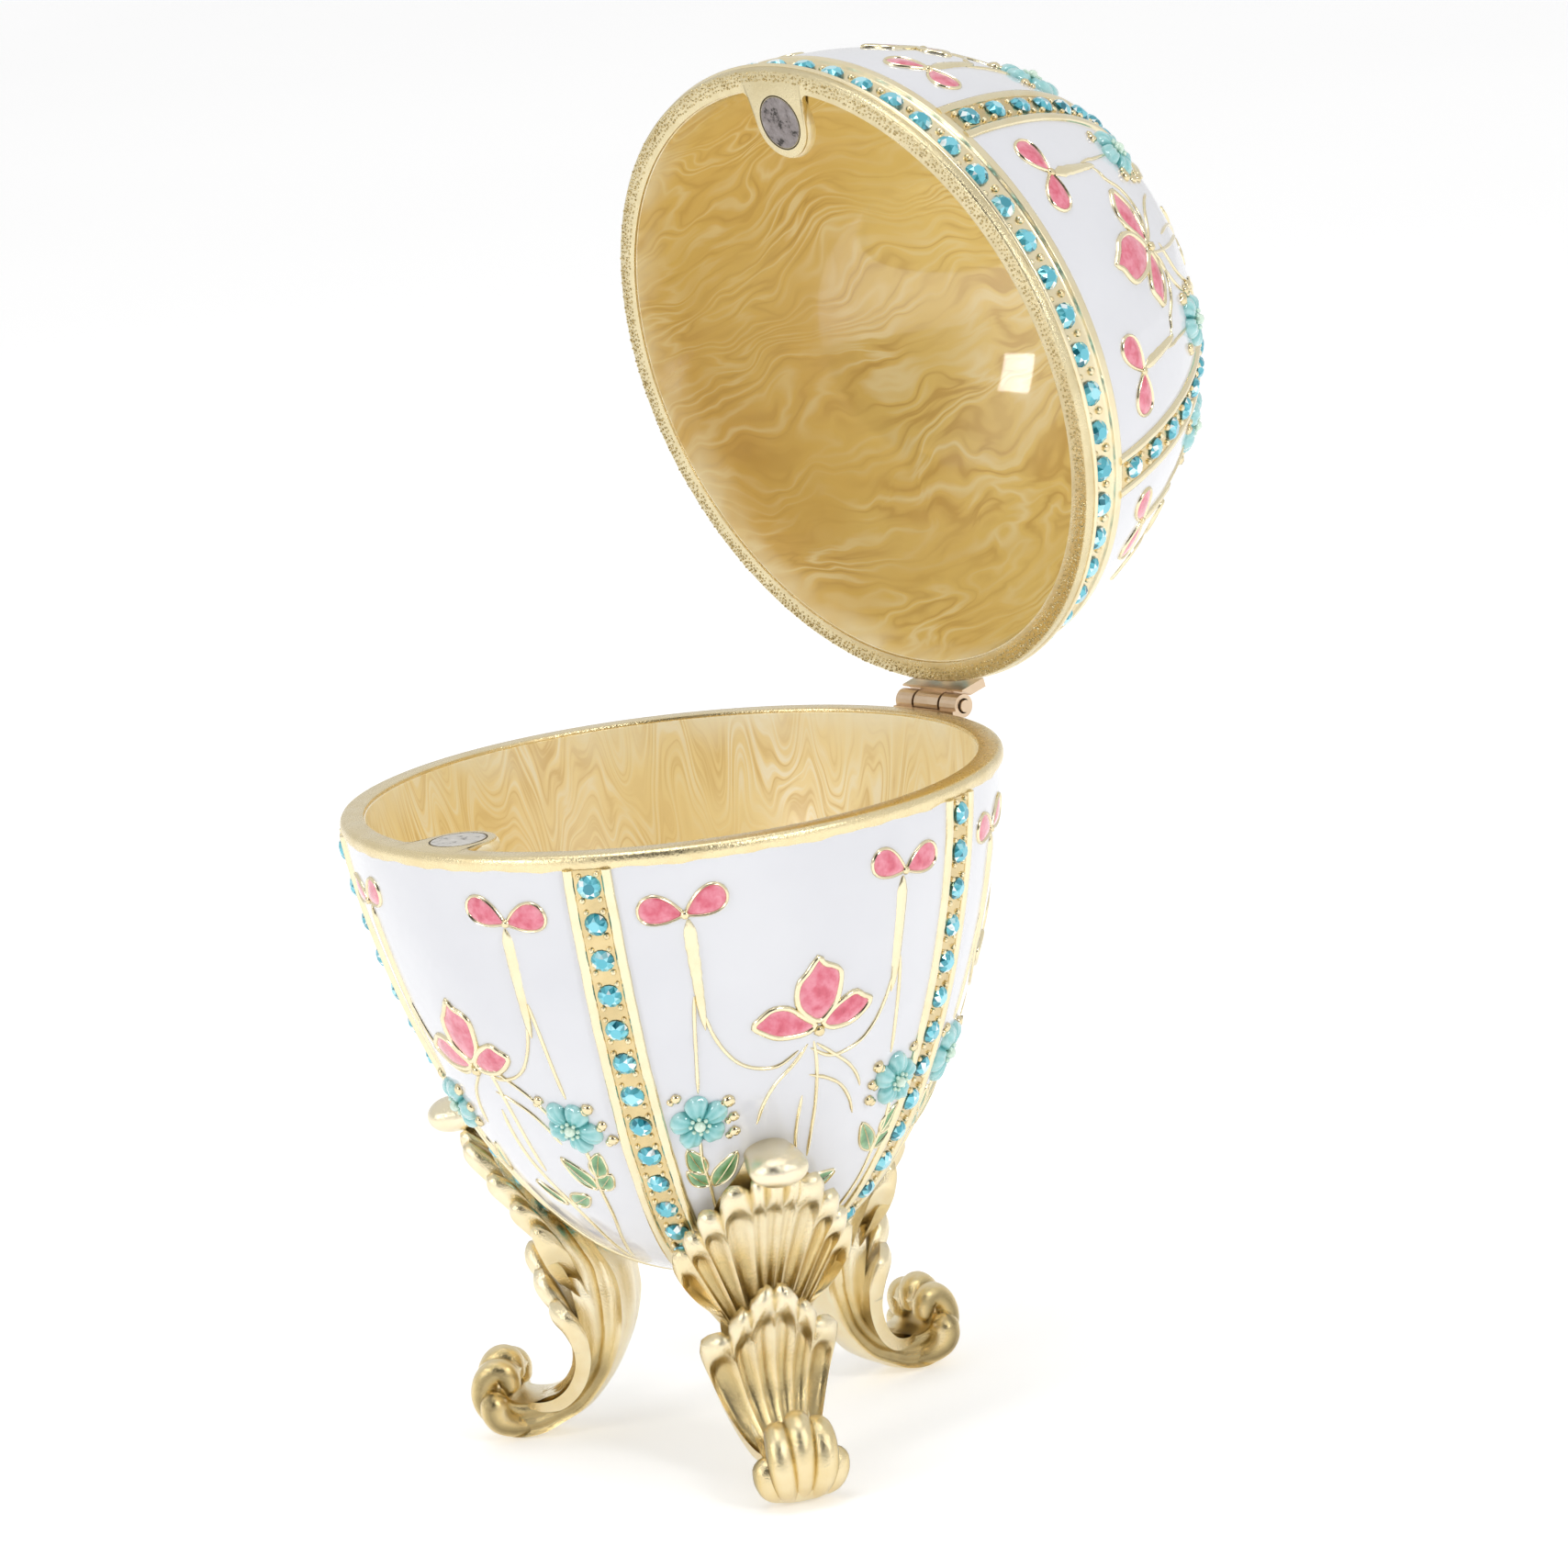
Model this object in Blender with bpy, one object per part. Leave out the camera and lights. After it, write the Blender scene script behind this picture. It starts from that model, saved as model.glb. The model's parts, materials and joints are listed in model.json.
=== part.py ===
"""Jewelled egg trinket box: a hollow cast egg that opens on a back hinge and stands on three scroll legs.

The blunt end is up. The egg parts at its rim into a deep base and a domed lid. Both halves carry
five jewelled bands with enamelled panels between them, and the lid stands open on its hinge stop.
Lengths are in millimetres until an object's mesh is made. Heights are measured from the base's rim.
Azimuths are in degrees from the hinge (+Y), growing towards +X.
"""
import math

import bmesh
import bpy
import numpy as np
from mathutils import Matrix, Vector

MM = 0.001

# Whole egg
BASE_RADIUS = 31.1            # enamelled panels of the base, at the rim
BASE_DEPTH = 47.3             # rim to the lower tip of the panels
BASE_DEPTH_POWER = 1.4        # how soon the base starts to narrow
BASE_RADIUS_POWER = 2.27      # how blunt its lower tip is
LID_RADIUS = 31.0
LID_HEIGHT = 36.2
LID_POWER = 2.0               # the lid's dome is half an ellipsoid
LID_TURN = -2.4               # its bands are a little round from those of the base
WALL = 2.0
RIM_ABOVE_GROUND = 64.4

# Rims
BASE_RIM_INNER = 28.9
BASE_FLANGE_RADIUS = 31.4
BASE_FLANGE_HEIGHT = 1.3
LID_RIM_INNER = 29.3
LID_FLANGE_RADIUS = 31.7
LID_FLANGE_HEIGHT = 1.1
PARTING_GAP = 0.3             # between the rims when the lid is shut

# Row of stones round the lid's rim
RING_STONES = 50
RING_FLOOR_RADIUS = 30.5
RING_FLOOR_BOTTOM = 1.9
RING_FLOOR_TOP = 5.2
RING_CREST_RADIUS = 31.3
RING_CREST_HEIGHT = 5.7
RING_TOP = 6.3                # where the bands of the dome start

# Jewelled bands
BAND_COUNT = 5
BAND_PITCH = 360.0 / BAND_COUNT
BAND_SECTION = ((-2.3, 0.0), (-1.85, 0.35), (-1.3, 0.1), (1.3, 0.1), (1.85, 0.35), (2.3, 0.0))
CHANNEL_COLUMN = 2            # the strip of BAND_SECTION that holds the stones
PANEL_STEPS = 5
COLUMNS_PER_BAND = len(BAND_SECTION) - 1 + PANEL_STEPS
STONE_MARGIN = 0.35
STONE_HEIGHT = 0.6
BASE_BAND_START = 1.4
BASE_STONE_PITCH = 3.6
BASE_BAND_STONES = 14
LID_STONE_PITCH = 3.85
LID_BAND_STONES = 10
TIP_CAP_HEIGHT = 0.8          # gold cap where the bands of either half meet
TIP_CAP_STEP = 0.45

# Raised flowers, one near each lower corner of every panel
FLOWER_ARC = 28.2             # from the rim, along the outline
FLOWER_MARGIN = 0.3
FLOWER_HEIGHT = 1.0

INNER_ROWS = 5

# Magnets in a lobe of each rim, opposite the hinge
MAGNET_AZIMUTH = 177.6
MAGNET_OFFSET = 26.15         # from the egg's axis
MAGNET_RADIUS = 2.5
MAGNET_THICKNESS = 1.4
MAGNET_CLEARANCE = 0.3
LOBE_RADIUS = 3.6
LOBE_DEPTH = 3.2

# Hinge at the back
HINGE_Y = 33.5
HINGE_Z = 0.0
OPEN_ANGLE = 77.8             # the lid rests on its stop at this opening
KNUCKLE_RADIUS = 1.15
PIN_RADIUS = 0.6
PIN_BORE_RADIUS = 0.75
HINGE_HALF_WIDTH = 4.3
MIDDLE_KNUCKLE_HALF = 1.7
KNUCKLE_GAP = 0.3
LEAF_FRONT = 32.0
LEAF_THICKNESS = 0.9
LEAF_LENGTH = 3.0
LEAF_PARTING = 0.3            # from the parting plane to either leaf
LEAF_CLEARANCE = 0.2           # round and beside the other leaf's knuckles
PIN_OVERHANG = 0.3
HINGE_SIDES = 20

# Scroll legs
LEG_COUNT = 3
LEG_TURN = -2.0               # the legs are soldered on a little round from the hinge
LEG_CLEARANCE = 1.1           # from the panels to the backs of the legs, clear of the stones
FLUTE_DEPTH = 0.35
EDGE_SETBACK = 2.0            # how far the edges of a leg's front fall back from its middle
BACK_SETBACK = 0.8
FRONT_POINTS = 9
BACK_POINTS = (0.8, 0.4, 0.0, -0.4, -0.8)
# One row a station: front radius and height, back radius and height, width round the egg.
# They run from the knob down the upper and lower shells, then round the volute of the foot.
LEG_STATIONS = (
    (26.4, -30.3, 22.0, -30.8, 3.4),
    (28.0, -32.0, 20.6, -33.2, 5.6),
    (25.2, -34.2, 19.0, -35.6, 6.4),
    (23.9, -36.0, 18.0, -37.4, 10.6),
    (22.0, -38.4, 16.6, -39.6, 12.6),
    (20.4, -40.9, 15.0, -41.9, 15.4),
    (18.4, -43.6, 12.6, -44.7, 15.6),
    (17.9, -46.0, 10.6, -47.2, 9.8),
    (19.1, -47.4, 9.8, -49.0, 8.6),
    (18.2, -49.8, 9.7, -51.0, 12.8),
    (16.9, -52.6, 10.8, -54.4, 11.6),
    (16.4, -55.6, 12.6, -57.6, 8.4),
    (17.6, -58.2, 15.6, -61.4, 6.0),
    (19.8, -59.8, 19.4, -64.2, 5.8),
    (21.8, -60.0, 23.6, -65.2, 7.6),
    (23.0, -59.4, 26.2, -62.2, 9.4),
    (23.2, -58.6, 26.9, -58.6, 9.8),
    (23.0, -58.2, 25.6, -55.7, 8.6),
    (22.6, -58.2, 23.2, -55.0, 7.4),
    (22.3, -58.6, 21.2, -56.8, 6.2),
)

COLOURS = {
    "enamel": ((0.84, 0.84, 0.88, 1.0), 0.12, 0.0),
    "gold": ((0.80, 0.62, 0.27, 1.0), 0.25, 1.0),
    "hinge_brass": ((0.52, 0.35, 0.18, 1.0), 0.35, 1.0),
    "magnet": ((0.24, 0.22, 0.20, 1.0), 0.4, 1.0),
}


def clear_scene():
    """Remove every object that the scene starts with."""
    for item in list(bpy.data.objects):
        bpy.data.objects.remove(item, do_unlink=True)


def make_material(node_name, colour_name):
    """One Principled material for one object."""
    colour, roughness, metallic = COLOURS[colour_name]
    material = bpy.data.materials.new(node_name + "_" + colour_name)
    material.use_nodes = True
    shader = material.node_tree.nodes["Principled BSDF"]
    shader.inputs["Base Color"].default_value = colour
    shader.inputs["Roughness"].default_value = roughness
    shader.inputs["Metallic"].default_value = metallic
    return material


def make_empty(name, location, parent=None):
    """An empty that carries other objects, placed in millimetres."""
    empty = bpy.data.objects.new(name, None)
    empty.location = Vector(location) * MM
    empty.parent = parent
    bpy.context.scene.collection.objects.link(empty)
    return empty


def make_object(name, bm, parent, origin=(0.0, 0.0, 0.0)):
    """Turn a bmesh in millimetres into an object whose own origin is at the given point."""
    bmesh.ops.recalc_face_normals(bm, faces=bm.faces)
    mesh = bpy.data.meshes.new(name)
    bm.to_mesh(mesh)
    bm.free()
    mesh.transform(Matrix.Scale(MM, 4) @ Matrix.Translation(-Vector(origin)))
    item = bpy.data.objects.new(name, mesh)
    item.parent = parent
    bpy.context.scene.collection.objects.link(item)
    return item


def finish_piece(item, colour_name, crease_angle=35.0):
    """Give a visible piece its material and its smooth shading."""
    item.data.materials.append(make_material(item.name, colour_name))
    item.data.shade_smooth()
    item.data.set_sharp_from_angle(angle=math.radians(crease_angle))


def make_cutter(name, bm, parent, origin=(0.0, 0.0, 0.0)):
    """A guide solid for a Boolean, hidden from the finished model."""
    cutter = make_object(name, bm, parent, origin)
    cutter.hide_render = True
    cutter.display_type = "WIRE"
    return cutter


def combine(item, operand, operation):
    """Add one exact Boolean modifier to an object."""
    modifier = item.modifiers.new(operand.name, "BOOLEAN")
    modifier.operation = operation
    modifier.solver = "EXACT"
    modifier.object = operand


def polar(radius, azimuth, height):
    """A point from its distance to the axis, its azimuth in degrees and its height."""
    angle = math.radians(azimuth)
    return Vector((radius * math.sin(angle), radius * math.cos(angle), height))


class Profile:
    """The outline of one half of the egg, read by the distance along it from the rim."""

    SAMPLES = 600

    def __init__(self, radius, height, height_power, radius_power, direction):
        turn = np.linspace(0.0, math.pi / 2.0, self.SAMPLES)
        part = np.sin(turn)
        self.radii = radius * np.maximum(1.0 - part ** height_power, 0.0) ** (1.0 / radius_power)
        self.heights = direction * height * part
        steps = np.hypot(np.diff(self.radii), np.diff(self.heights))
        self.arcs = np.concatenate(([0.0], np.cumsum(steps)))
        self.length = float(self.arcs[-1])
        self.direction = direction

    def point(self, arc, offset=0.0):
        """Radius and height at a distance along the outline, moved outwards by the offset."""
        step = 0.2
        radius = float(np.interp(arc, self.arcs, self.radii))
        height = float(np.interp(arc, self.arcs, self.heights))
        ahead = min(arc + step, self.length)
        behind = max(ahead - 2.0 * step, 0.0)
        along_r = float(np.interp(ahead, self.arcs, self.radii) - np.interp(behind, self.arcs, self.radii))
        along_z = float(np.interp(ahead, self.arcs, self.heights) - np.interp(behind, self.arcs, self.heights))
        size = math.hypot(along_r, along_z)
        out_r = abs(along_z) / size
        out_z = self.direction * abs(along_r) / size
        return radius + offset * out_r, height + offset * out_z

    def arc_at_height(self, height):
        """Distance along the outline to a height."""
        return float(np.interp(abs(height), np.abs(self.heights), self.arcs))


BASE_OUTLINE = Profile(BASE_RADIUS, BASE_DEPTH, BASE_DEPTH_POWER, BASE_RADIUS_POWER, -1.0)
BASE_LINING = Profile(BASE_RIM_INNER, BASE_DEPTH - WALL, BASE_DEPTH_POWER, BASE_RADIUS_POWER, -1.0)
LID_OUTLINE = Profile(LID_RADIUS, LID_HEIGHT, LID_POWER, LID_POWER, 1.0)
LID_LINING = Profile(LID_RIM_INNER, LID_HEIGHT - WALL, LID_POWER, LID_POWER, 1.0)


def band_row(outline, arc):
    """Points once round the egg: the rails and channel of each band, then the panel beside it."""
    radius, _ = outline.point(arc)
    row = []
    edge = BAND_SECTION[-1][0]
    half_angle = math.degrees(edge / radius)
    panel_angle = BAND_PITCH - 2.0 * half_angle
    for band in range(BAND_COUNT):
        axis = band * BAND_PITCH
        for across, raised in BAND_SECTION:
            azimuth = axis + math.degrees(across / radius)
            row.append((azimuth, *outline.point(arc, raised)))
        for step in range(1, PANEL_STEPS):
            azimuth = axis + half_angle + panel_angle * step / PANEL_STEPS
            row.append((azimuth, *outline.point(arc)))
    return row


def level_row(azimuths, radius, height):
    """Points once round the egg at one radius and height."""
    return [(azimuth, radius, height) for azimuth in azimuths]


def add_row(bm, row):
    """Make the vertices of one row."""
    return [bm.verts.new(polar(radius, azimuth, height)) for azimuth, radius, height in row]


def join_rows(bm, upper, lower):
    """A strip of quads between two rows of equal count; the faces come back in column order."""
    count = len(upper)
    faces = []
    for column in range(count):
        after = (column + 1) % count
        faces.append(bm.faces.new((upper[column], upper[after], lower[after], lower[column])))
    return faces


def stitch_rows(bm, first, first_azimuths, second, second_azimuths):
    """A strip of triangles between two rows whose azimuths don't match."""
    count_a = len(first)
    count_b = len(second)
    turn_a = list(first_azimuths) + [first_azimuths[0] + 360.0]
    turn_b = list(second_azimuths) + [second_azimuths[0] + 360.0]
    index_a = 0
    index_b = 0
    while index_a < count_a or index_b < count_b:
        corner_a = first[index_a % count_a]
        corner_b = second[index_b % count_b]
        step_a = index_b == count_b or (index_a < count_a and turn_a[index_a + 1] <= turn_b[index_b + 1])
        if step_a:
            index_a += 1
            bm.faces.new((corner_a, first[index_a % count_a], corner_b))
        else:
            index_b += 1
            bm.faces.new((corner_a, second[index_b % count_b], corner_b))


def close_row(bm, row, height):
    """A fan from a row to one point on the axis."""
    tip = bm.verts.new((0.0, 0.0, height))
    count = len(row)
    for column in range(count):
        bm.faces.new((row[column], row[(column + 1) % count], tip))


def raise_bosses(bm, faces, margin, height):
    """Raise a low pointed boss from the middle of each face."""
    bm.normal_update()
    bmesh.ops.inset_individual(bm, faces=faces, thickness=margin, use_even_offset=True)
    bmesh.ops.poke(bm, faces=faces, offset=height)


def channel_faces(strips):
    """The faces of the bands' channels in a list of strips."""
    chosen = []
    for strip in strips:
        chosen += strip[CHANNEL_COLUMN::COLUMNS_PER_BAND]
    return chosen


def flower_faces(strips, first_arc, pitch):
    """The faces beside the bands where the raised flowers stand."""
    strip = strips[int((FLOWER_ARC - first_arc) / pitch)]
    beside_band = len(BAND_SECTION) - 1
    return strip[beside_band::COLUMNS_PER_BAND] + strip[COLUMNS_PER_BAND - 1::COLUMNS_PER_BAND]


def add_bands(bm, outline, first_arc, pitch, count):
    """The rows of the bands and panels; gives the rows and the strips between them."""
    rows = [add_row(bm, band_row(outline, first_arc + pitch * step)) for step in range(count + 1)]
    strips = [join_rows(bm, rows[step], rows[step + 1]) for step in range(count)]
    return rows, strips


def add_tip_cap(bm, row, azimuths, outline, last_arc):
    """The gold cap over the tip, a step up from the bands and then a low dome."""
    shoulder_radius, shoulder_height = outline.point(last_arc + TIP_CAP_STEP, TIP_CAP_HEIGHT)
    shoulder = add_row(bm, level_row(azimuths, shoulder_radius, shoulder_height))
    join_rows(bm, row, shoulder)
    _, tip_height = outline.point(outline.length, TIP_CAP_HEIGHT)
    close_row(bm, shoulder, tip_height)


def add_lining(bm, rim, azimuths, lining):
    """The inner wall from the rim's inner edge to the bottom of the hollow."""
    above = rim
    for step in range(1, INNER_ROWS):
        arc = lining.length * step / INNER_ROWS
        row = add_row(bm, level_row(azimuths, *lining.point(arc)))
        join_rows(bm, above, row)
        above = row
    close_row(bm, above, float(lining.heights[-1]))


def base_mesh():
    """The hollow base: lining, flat rim, side flange, bands and panels, and the lower cap."""
    bm = bmesh.new()
    azimuths = [point[0] for point in band_row(BASE_OUTLINE, BASE_BAND_START)]
    inner = add_row(bm, level_row(azimuths, BASE_RIM_INNER, 0.0))
    outer = add_row(bm, level_row(azimuths, BASE_FLANGE_RADIUS, 0.0))
    flange = add_row(bm, level_row(azimuths, BASE_FLANGE_RADIUS, -BASE_FLANGE_HEIGHT))
    add_lining(bm, inner, azimuths, BASE_LINING)
    join_rows(bm, inner, outer)
    join_rows(bm, outer, flange)
    rows, strips = add_bands(bm, BASE_OUTLINE, BASE_BAND_START, BASE_STONE_PITCH, BASE_BAND_STONES)
    join_rows(bm, flange, rows[0])
    last_arc = BASE_BAND_START + BASE_STONE_PITCH * BASE_BAND_STONES
    last_azimuths = [point[0] for point in band_row(BASE_OUTLINE, last_arc)]
    add_tip_cap(bm, rows[-1], last_azimuths, BASE_OUTLINE, last_arc)
    raise_bosses(bm, channel_faces(strips), STONE_MARGIN, STONE_HEIGHT)
    flowers = flower_faces(strips, BASE_BAND_START, BASE_STONE_PITCH)
    raise_bosses(bm, flowers, FLOWER_MARGIN, FLOWER_HEIGHT)
    return bm


def lid_mesh():
    """The hollow lid, shut: lining, rim, row of stones, bands and panels, and the upper cap."""
    bm = bmesh.new()
    ring_azimuths = [360.0 * step / RING_STONES for step in range(RING_STONES)]
    levels = (
        (LID_RIM_INNER, 0.0),
        (LID_FLANGE_RADIUS, 0.0),
        (LID_FLANGE_RADIUS, LID_FLANGE_HEIGHT),
        (RING_FLOOR_RADIUS, RING_FLOOR_BOTTOM),
        (RING_FLOOR_RADIUS, RING_FLOOR_TOP),
        (RING_CREST_RADIUS, RING_CREST_HEIGHT),
    )
    ring = [add_row(bm, level_row(ring_azimuths, radius, height)) for radius, height in levels]
    ring_strips = [join_rows(bm, ring[step], ring[step + 1]) for step in range(len(ring) - 1)]
    add_lining(bm, ring[0], ring_azimuths, LID_LINING)
    first_arc = LID_OUTLINE.arc_at_height(RING_TOP)
    rows, strips = add_bands(bm, LID_OUTLINE, first_arc, LID_STONE_PITCH, LID_BAND_STONES)
    first_azimuths = [point[0] for point in band_row(LID_OUTLINE, first_arc)]
    shift = next(index for index, azimuth in enumerate(first_azimuths) if azimuth >= 0.0)
    turned = first_azimuths[shift:] + [azimuth + 360.0 for azimuth in first_azimuths[:shift]]
    stitch_rows(bm, ring[-1], ring_azimuths, rows[0][shift:] + rows[0][:shift], turned)
    last_arc = first_arc + LID_STONE_PITCH * LID_BAND_STONES
    last_azimuths = [point[0] for point in band_row(LID_OUTLINE, last_arc)]
    add_tip_cap(bm, rows[-1], last_azimuths, LID_OUTLINE, last_arc)
    ring_floor = ring_strips[levels.index((RING_FLOOR_RADIUS, RING_FLOOR_BOTTOM))]
    raise_bosses(bm, ring_floor + channel_faces(strips), STONE_MARGIN, STONE_HEIGHT)
    flowers = flower_faces(strips, first_arc, LID_STONE_PITCH)
    raise_bosses(bm, flowers, FLOWER_MARGIN, FLOWER_HEIGHT)
    bmesh.ops.translate(bm, verts=bm.verts, vec=(0.0, 0.0, PARTING_GAP))
    return bm


def upright_cylinder(radius, bottom, top, sides, centre):
    """A closed cylinder along Z."""
    bm = bmesh.new()
    middle = Matrix.Translation((centre[0], centre[1], (bottom + top) / 2.0))
    bmesh.ops.create_cone(bm, cap_ends=True, segments=sides, radius1=radius, radius2=radius,
                          depth=top - bottom, matrix=middle)
    return bm


def cross_cylinder(radius, left, right, sides=HINGE_SIDES):
    """A closed cylinder along X on the hinge axis."""
    bm = bmesh.new()
    middle = Matrix.Translation(((left + right) / 2.0, HINGE_Y, HINGE_Z))
    turn = Matrix.Rotation(math.pi / 2.0, 4, "Y")
    bmesh.ops.create_cone(bm, cap_ends=True, segments=sides, radius1=radius, radius2=radius,
                          depth=right - left, matrix=middle @ turn)
    return bm


def box_mesh(low, high):
    """A closed box between two corners."""
    bm = bmesh.new()
    centre = (Vector(low) + Vector(high)) / 2.0
    size = Vector(high) - Vector(low)
    bmesh.ops.create_cube(bm, size=1.0, matrix=Matrix.Translation(centre) @ Matrix.Diagonal((*size, 1.0)))
    return bm


def add_magnet(shell, name, parent, origin, rim_height, inward):
    """The lobe of a rim, its pocket and the magnet disc that sits in it.

    inward is the direction along Z from the rim into the half's hollow, -1 for the base and 1 for the lid.
    """
    spot = polar(MAGNET_OFFSET, MAGNET_AZIMUTH, 0.0)

    def slab(radius, start, end, sides):
        heights = sorted((rim_height + inward * start, rim_height + inward * end))
        return upright_cylinder(radius, heights[0], heights[1], sides, spot)

    lobe = make_cutter(name + "_lobe", slab(LOBE_RADIUS, 0.0, LOBE_DEPTH, 24), parent, origin)
    pocket_depth = MAGNET_THICKNESS + MAGNET_CLEARANCE
    pocket_radius = MAGNET_RADIUS + MAGNET_CLEARANCE
    pocket = make_cutter(name + "_pocket", slab(pocket_radius, -1.0, pocket_depth, 24), parent, origin)
    combine(shell, lobe, "UNION")
    combine(shell, pocket, "DIFFERENCE")
    magnet = make_object(name, slab(MAGNET_RADIUS, 0.0, MAGNET_THICKNESS, 24), parent, origin)
    finish_piece(magnet, "magnet")


def add_leaf(name, parent, origin, side, knuckles, other_knuckles):
    """One hinge leaf: a plate behind the wall, its knuckles, and room for the other leaf's.

    side is -1 for the base's leaf, below the parting plane, and 1 for the lid's leaf.
    """
    near = side * LEAF_PARTING
    far = side * (LEAF_PARTING + LEAF_LENGTH)
    low = (-HINGE_HALF_WIDTH, LEAF_FRONT, min(near, far))
    high = (HINGE_HALF_WIDTH, LEAF_FRONT + LEAF_THICKNESS, max(near, far))
    leaf = make_object(name, box_mesh(low, high), parent, origin)
    for number, (left, right) in enumerate(other_knuckles):
        room = cross_cylinder(KNUCKLE_RADIUS + LEAF_CLEARANCE, left - LEAF_CLEARANCE, right + LEAF_CLEARANCE)
        combine(leaf, make_cutter(f"{name}_room_{number}", room, parent, origin), "DIFFERENCE")
    for number, (left, right) in enumerate(knuckles):
        barrel = cross_cylinder(KNUCKLE_RADIUS, left, right)
        combine(leaf, make_cutter(f"{name}_barrel_{number}", barrel, parent, origin), "UNION")
    reach = HINGE_HALF_WIDTH + 1.0
    bore = make_cutter(name + "_bore", cross_cylinder(PIN_BORE_RADIUS, -reach, reach), parent, origin)
    combine(leaf, bore, "DIFFERENCE")
    finish_piece(leaf, "hinge_brass")


def leg_section(front, back, width, azimuth):
    """Points round one station of a leg: fluted front edge to edge, then the fluted back."""
    front_radius, front_height = front
    back_radius, back_height = back
    thickness = math.hypot(back_radius - front_radius, back_height - front_height)
    half_angle = math.degrees(width / 2.0 / front_radius)

    def place(across, inset):
        part = inset / thickness
        radius = front_radius + (back_radius - front_radius) * part
        height = front_height + (back_height - front_height) * part
        return polar(radius, azimuth + across * half_angle, height)

    points = []
    for index in range(FRONT_POINTS):
        across = -1.0 + 2.0 * index / (FRONT_POINTS - 1)
        groove = FLUTE_DEPTH * (index % 2)
        points.append(place(across, EDGE_SETBACK * across ** 2 + groove))
    for index, across in enumerate(BACK_POINTS):
        groove = FLUTE_DEPTH * (index % 2)
        points.append(place(across, thickness - BACK_SETBACK * across ** 2 - groove))
    return points


def leg_mesh(azimuth):
    """One scroll leg as a loft through its stations, cut flat where it stands on the ground."""
    bm = bmesh.new()
    rings = []
    for front_r, front_z, back_r, back_z, width in LEG_STATIONS:
        section = leg_section((front_r, front_z), (back_r, back_z), width, azimuth)
        rings.append([bm.verts.new(point) for point in section])
    for upper, lower in zip(rings, rings[1:]):
        join_rows(bm, upper, lower)
    for ring in (rings[0], rings[-1]):
        middle = sum((corner.co for corner in ring), Vector()) / len(ring)
        centre = bm.verts.new(middle)
        for index, corner in enumerate(ring):
            bm.faces.new((corner, ring[(index + 1) % len(ring)], centre))
    geometry = bm.verts[:] + bm.edges[:] + bm.faces[:]
    cut = bmesh.ops.bisect_plane(bm, geom=geometry, plane_co=(0.0, 0.0, -RIM_ABOVE_GROUND),
                                 plane_no=(0.0, 0.0, -1.0), clear_outer=True)
    border = [item for item in cut["geom_cut"] if isinstance(item, bmesh.types.BMEdge)]
    bmesh.ops.contextual_create(bm, geom=border)
    return bm


def egg_clearance():
    """The base's outline with room for the bands, for cutting the backs of the legs."""
    sides = 60
    rows = 18
    bm = bmesh.new()
    azimuths = [360.0 * step / sides for step in range(sides)]
    above = None
    for step in range(rows):
        arc = BASE_OUTLINE.length * step / rows
        row = add_row(bm, level_row(azimuths, *BASE_OUTLINE.point(arc, LEG_CLEARANCE)))
        if above is None:
            close_row(bm, row, 0.0)
        else:
            join_rows(bm, above, row)
        above = row
    close_row(bm, above, -BASE_DEPTH - TIP_CAP_HEIGHT - LEG_CLEARANCE)
    return bm


def build_base(egg):
    """The fixed half: shell, magnet, hinge leaf and pin, and the three legs."""
    shell = make_object("base_shell", base_mesh(), egg)
    add_magnet(shell, "magnet_base", egg, (0.0, 0.0, 0.0), 0.0, -1.0)
    finish_piece(shell, "enamel")
    hollow = make_cutter("egg_clearance", egg_clearance(), egg)
    for name, azimuth in (("leg_back", 0.0), ("leg_front_right", 120.0), ("leg_front_left", 240.0)):
        leg = make_object(name, leg_mesh(azimuth + LEG_TURN), egg)
        combine(leg, hollow, "DIFFERENCE")
        finish_piece(leg, "gold", crease_angle=50.0)


def build_lid(egg, lid_axis):
    """The lid's shell and magnet, turned about the hinge by the empty that carries them."""
    hinge = (0.0, HINGE_Y, HINGE_Z)
    dome = lid_mesh()
    turn = Matrix.Rotation(math.radians(-LID_TURN), 3, "Z")
    bmesh.ops.rotate(dome, cent=(0.0, 0.0, 0.0), matrix=turn, verts=dome.verts[:])
    shell = make_object("lid_shell", dome, lid_axis, hinge)
    add_magnet(shell, "magnet_lid", lid_axis, hinge, PARTING_GAP, 1.0)
    finish_piece(shell, "enamel")


def build_hinge(egg, lid_axis):
    """Both leaves of the hinge and the pin through their knuckles."""
    hinge = (0.0, HINGE_Y, HINGE_Z)
    inner_edge = MIDDLE_KNUCKLE_HALF + KNUCKLE_GAP
    outer = ((-HINGE_HALF_WIDTH, -inner_edge), (inner_edge, HINGE_HALF_WIDTH))
    middle = ((-MIDDLE_KNUCKLE_HALF, MIDDLE_KNUCKLE_HALF),)
    add_leaf("hinge_leaf_base", egg, (0.0, 0.0, 0.0), -1.0, outer, middle)
    add_leaf("hinge_leaf_lid", lid_axis, hinge, 1.0, middle, outer)
    reach = HINGE_HALF_WIDTH + PIN_OVERHANG
    pin = make_object("hinge_pin", cross_cylinder(PIN_RADIUS, -reach, reach), egg)
    finish_piece(pin, "hinge_brass")


def centre_footprint(egg):
    """Move the egg along Y so that the box round the open model is centred on the origin."""
    bpy.context.view_layer.update()
    depsgraph = bpy.context.evaluated_depsgraph_get()
    spans = []
    for item in bpy.data.objects:
        if item.type != "MESH" or item.hide_render:
            continue
        shown = item.evaluated_get(depsgraph)
        spans += [(shown.matrix_world @ vertex.co).y for vertex in shown.data.vertices]
    egg.location.y -= (min(spans) + max(spans)) / 2.0


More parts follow.
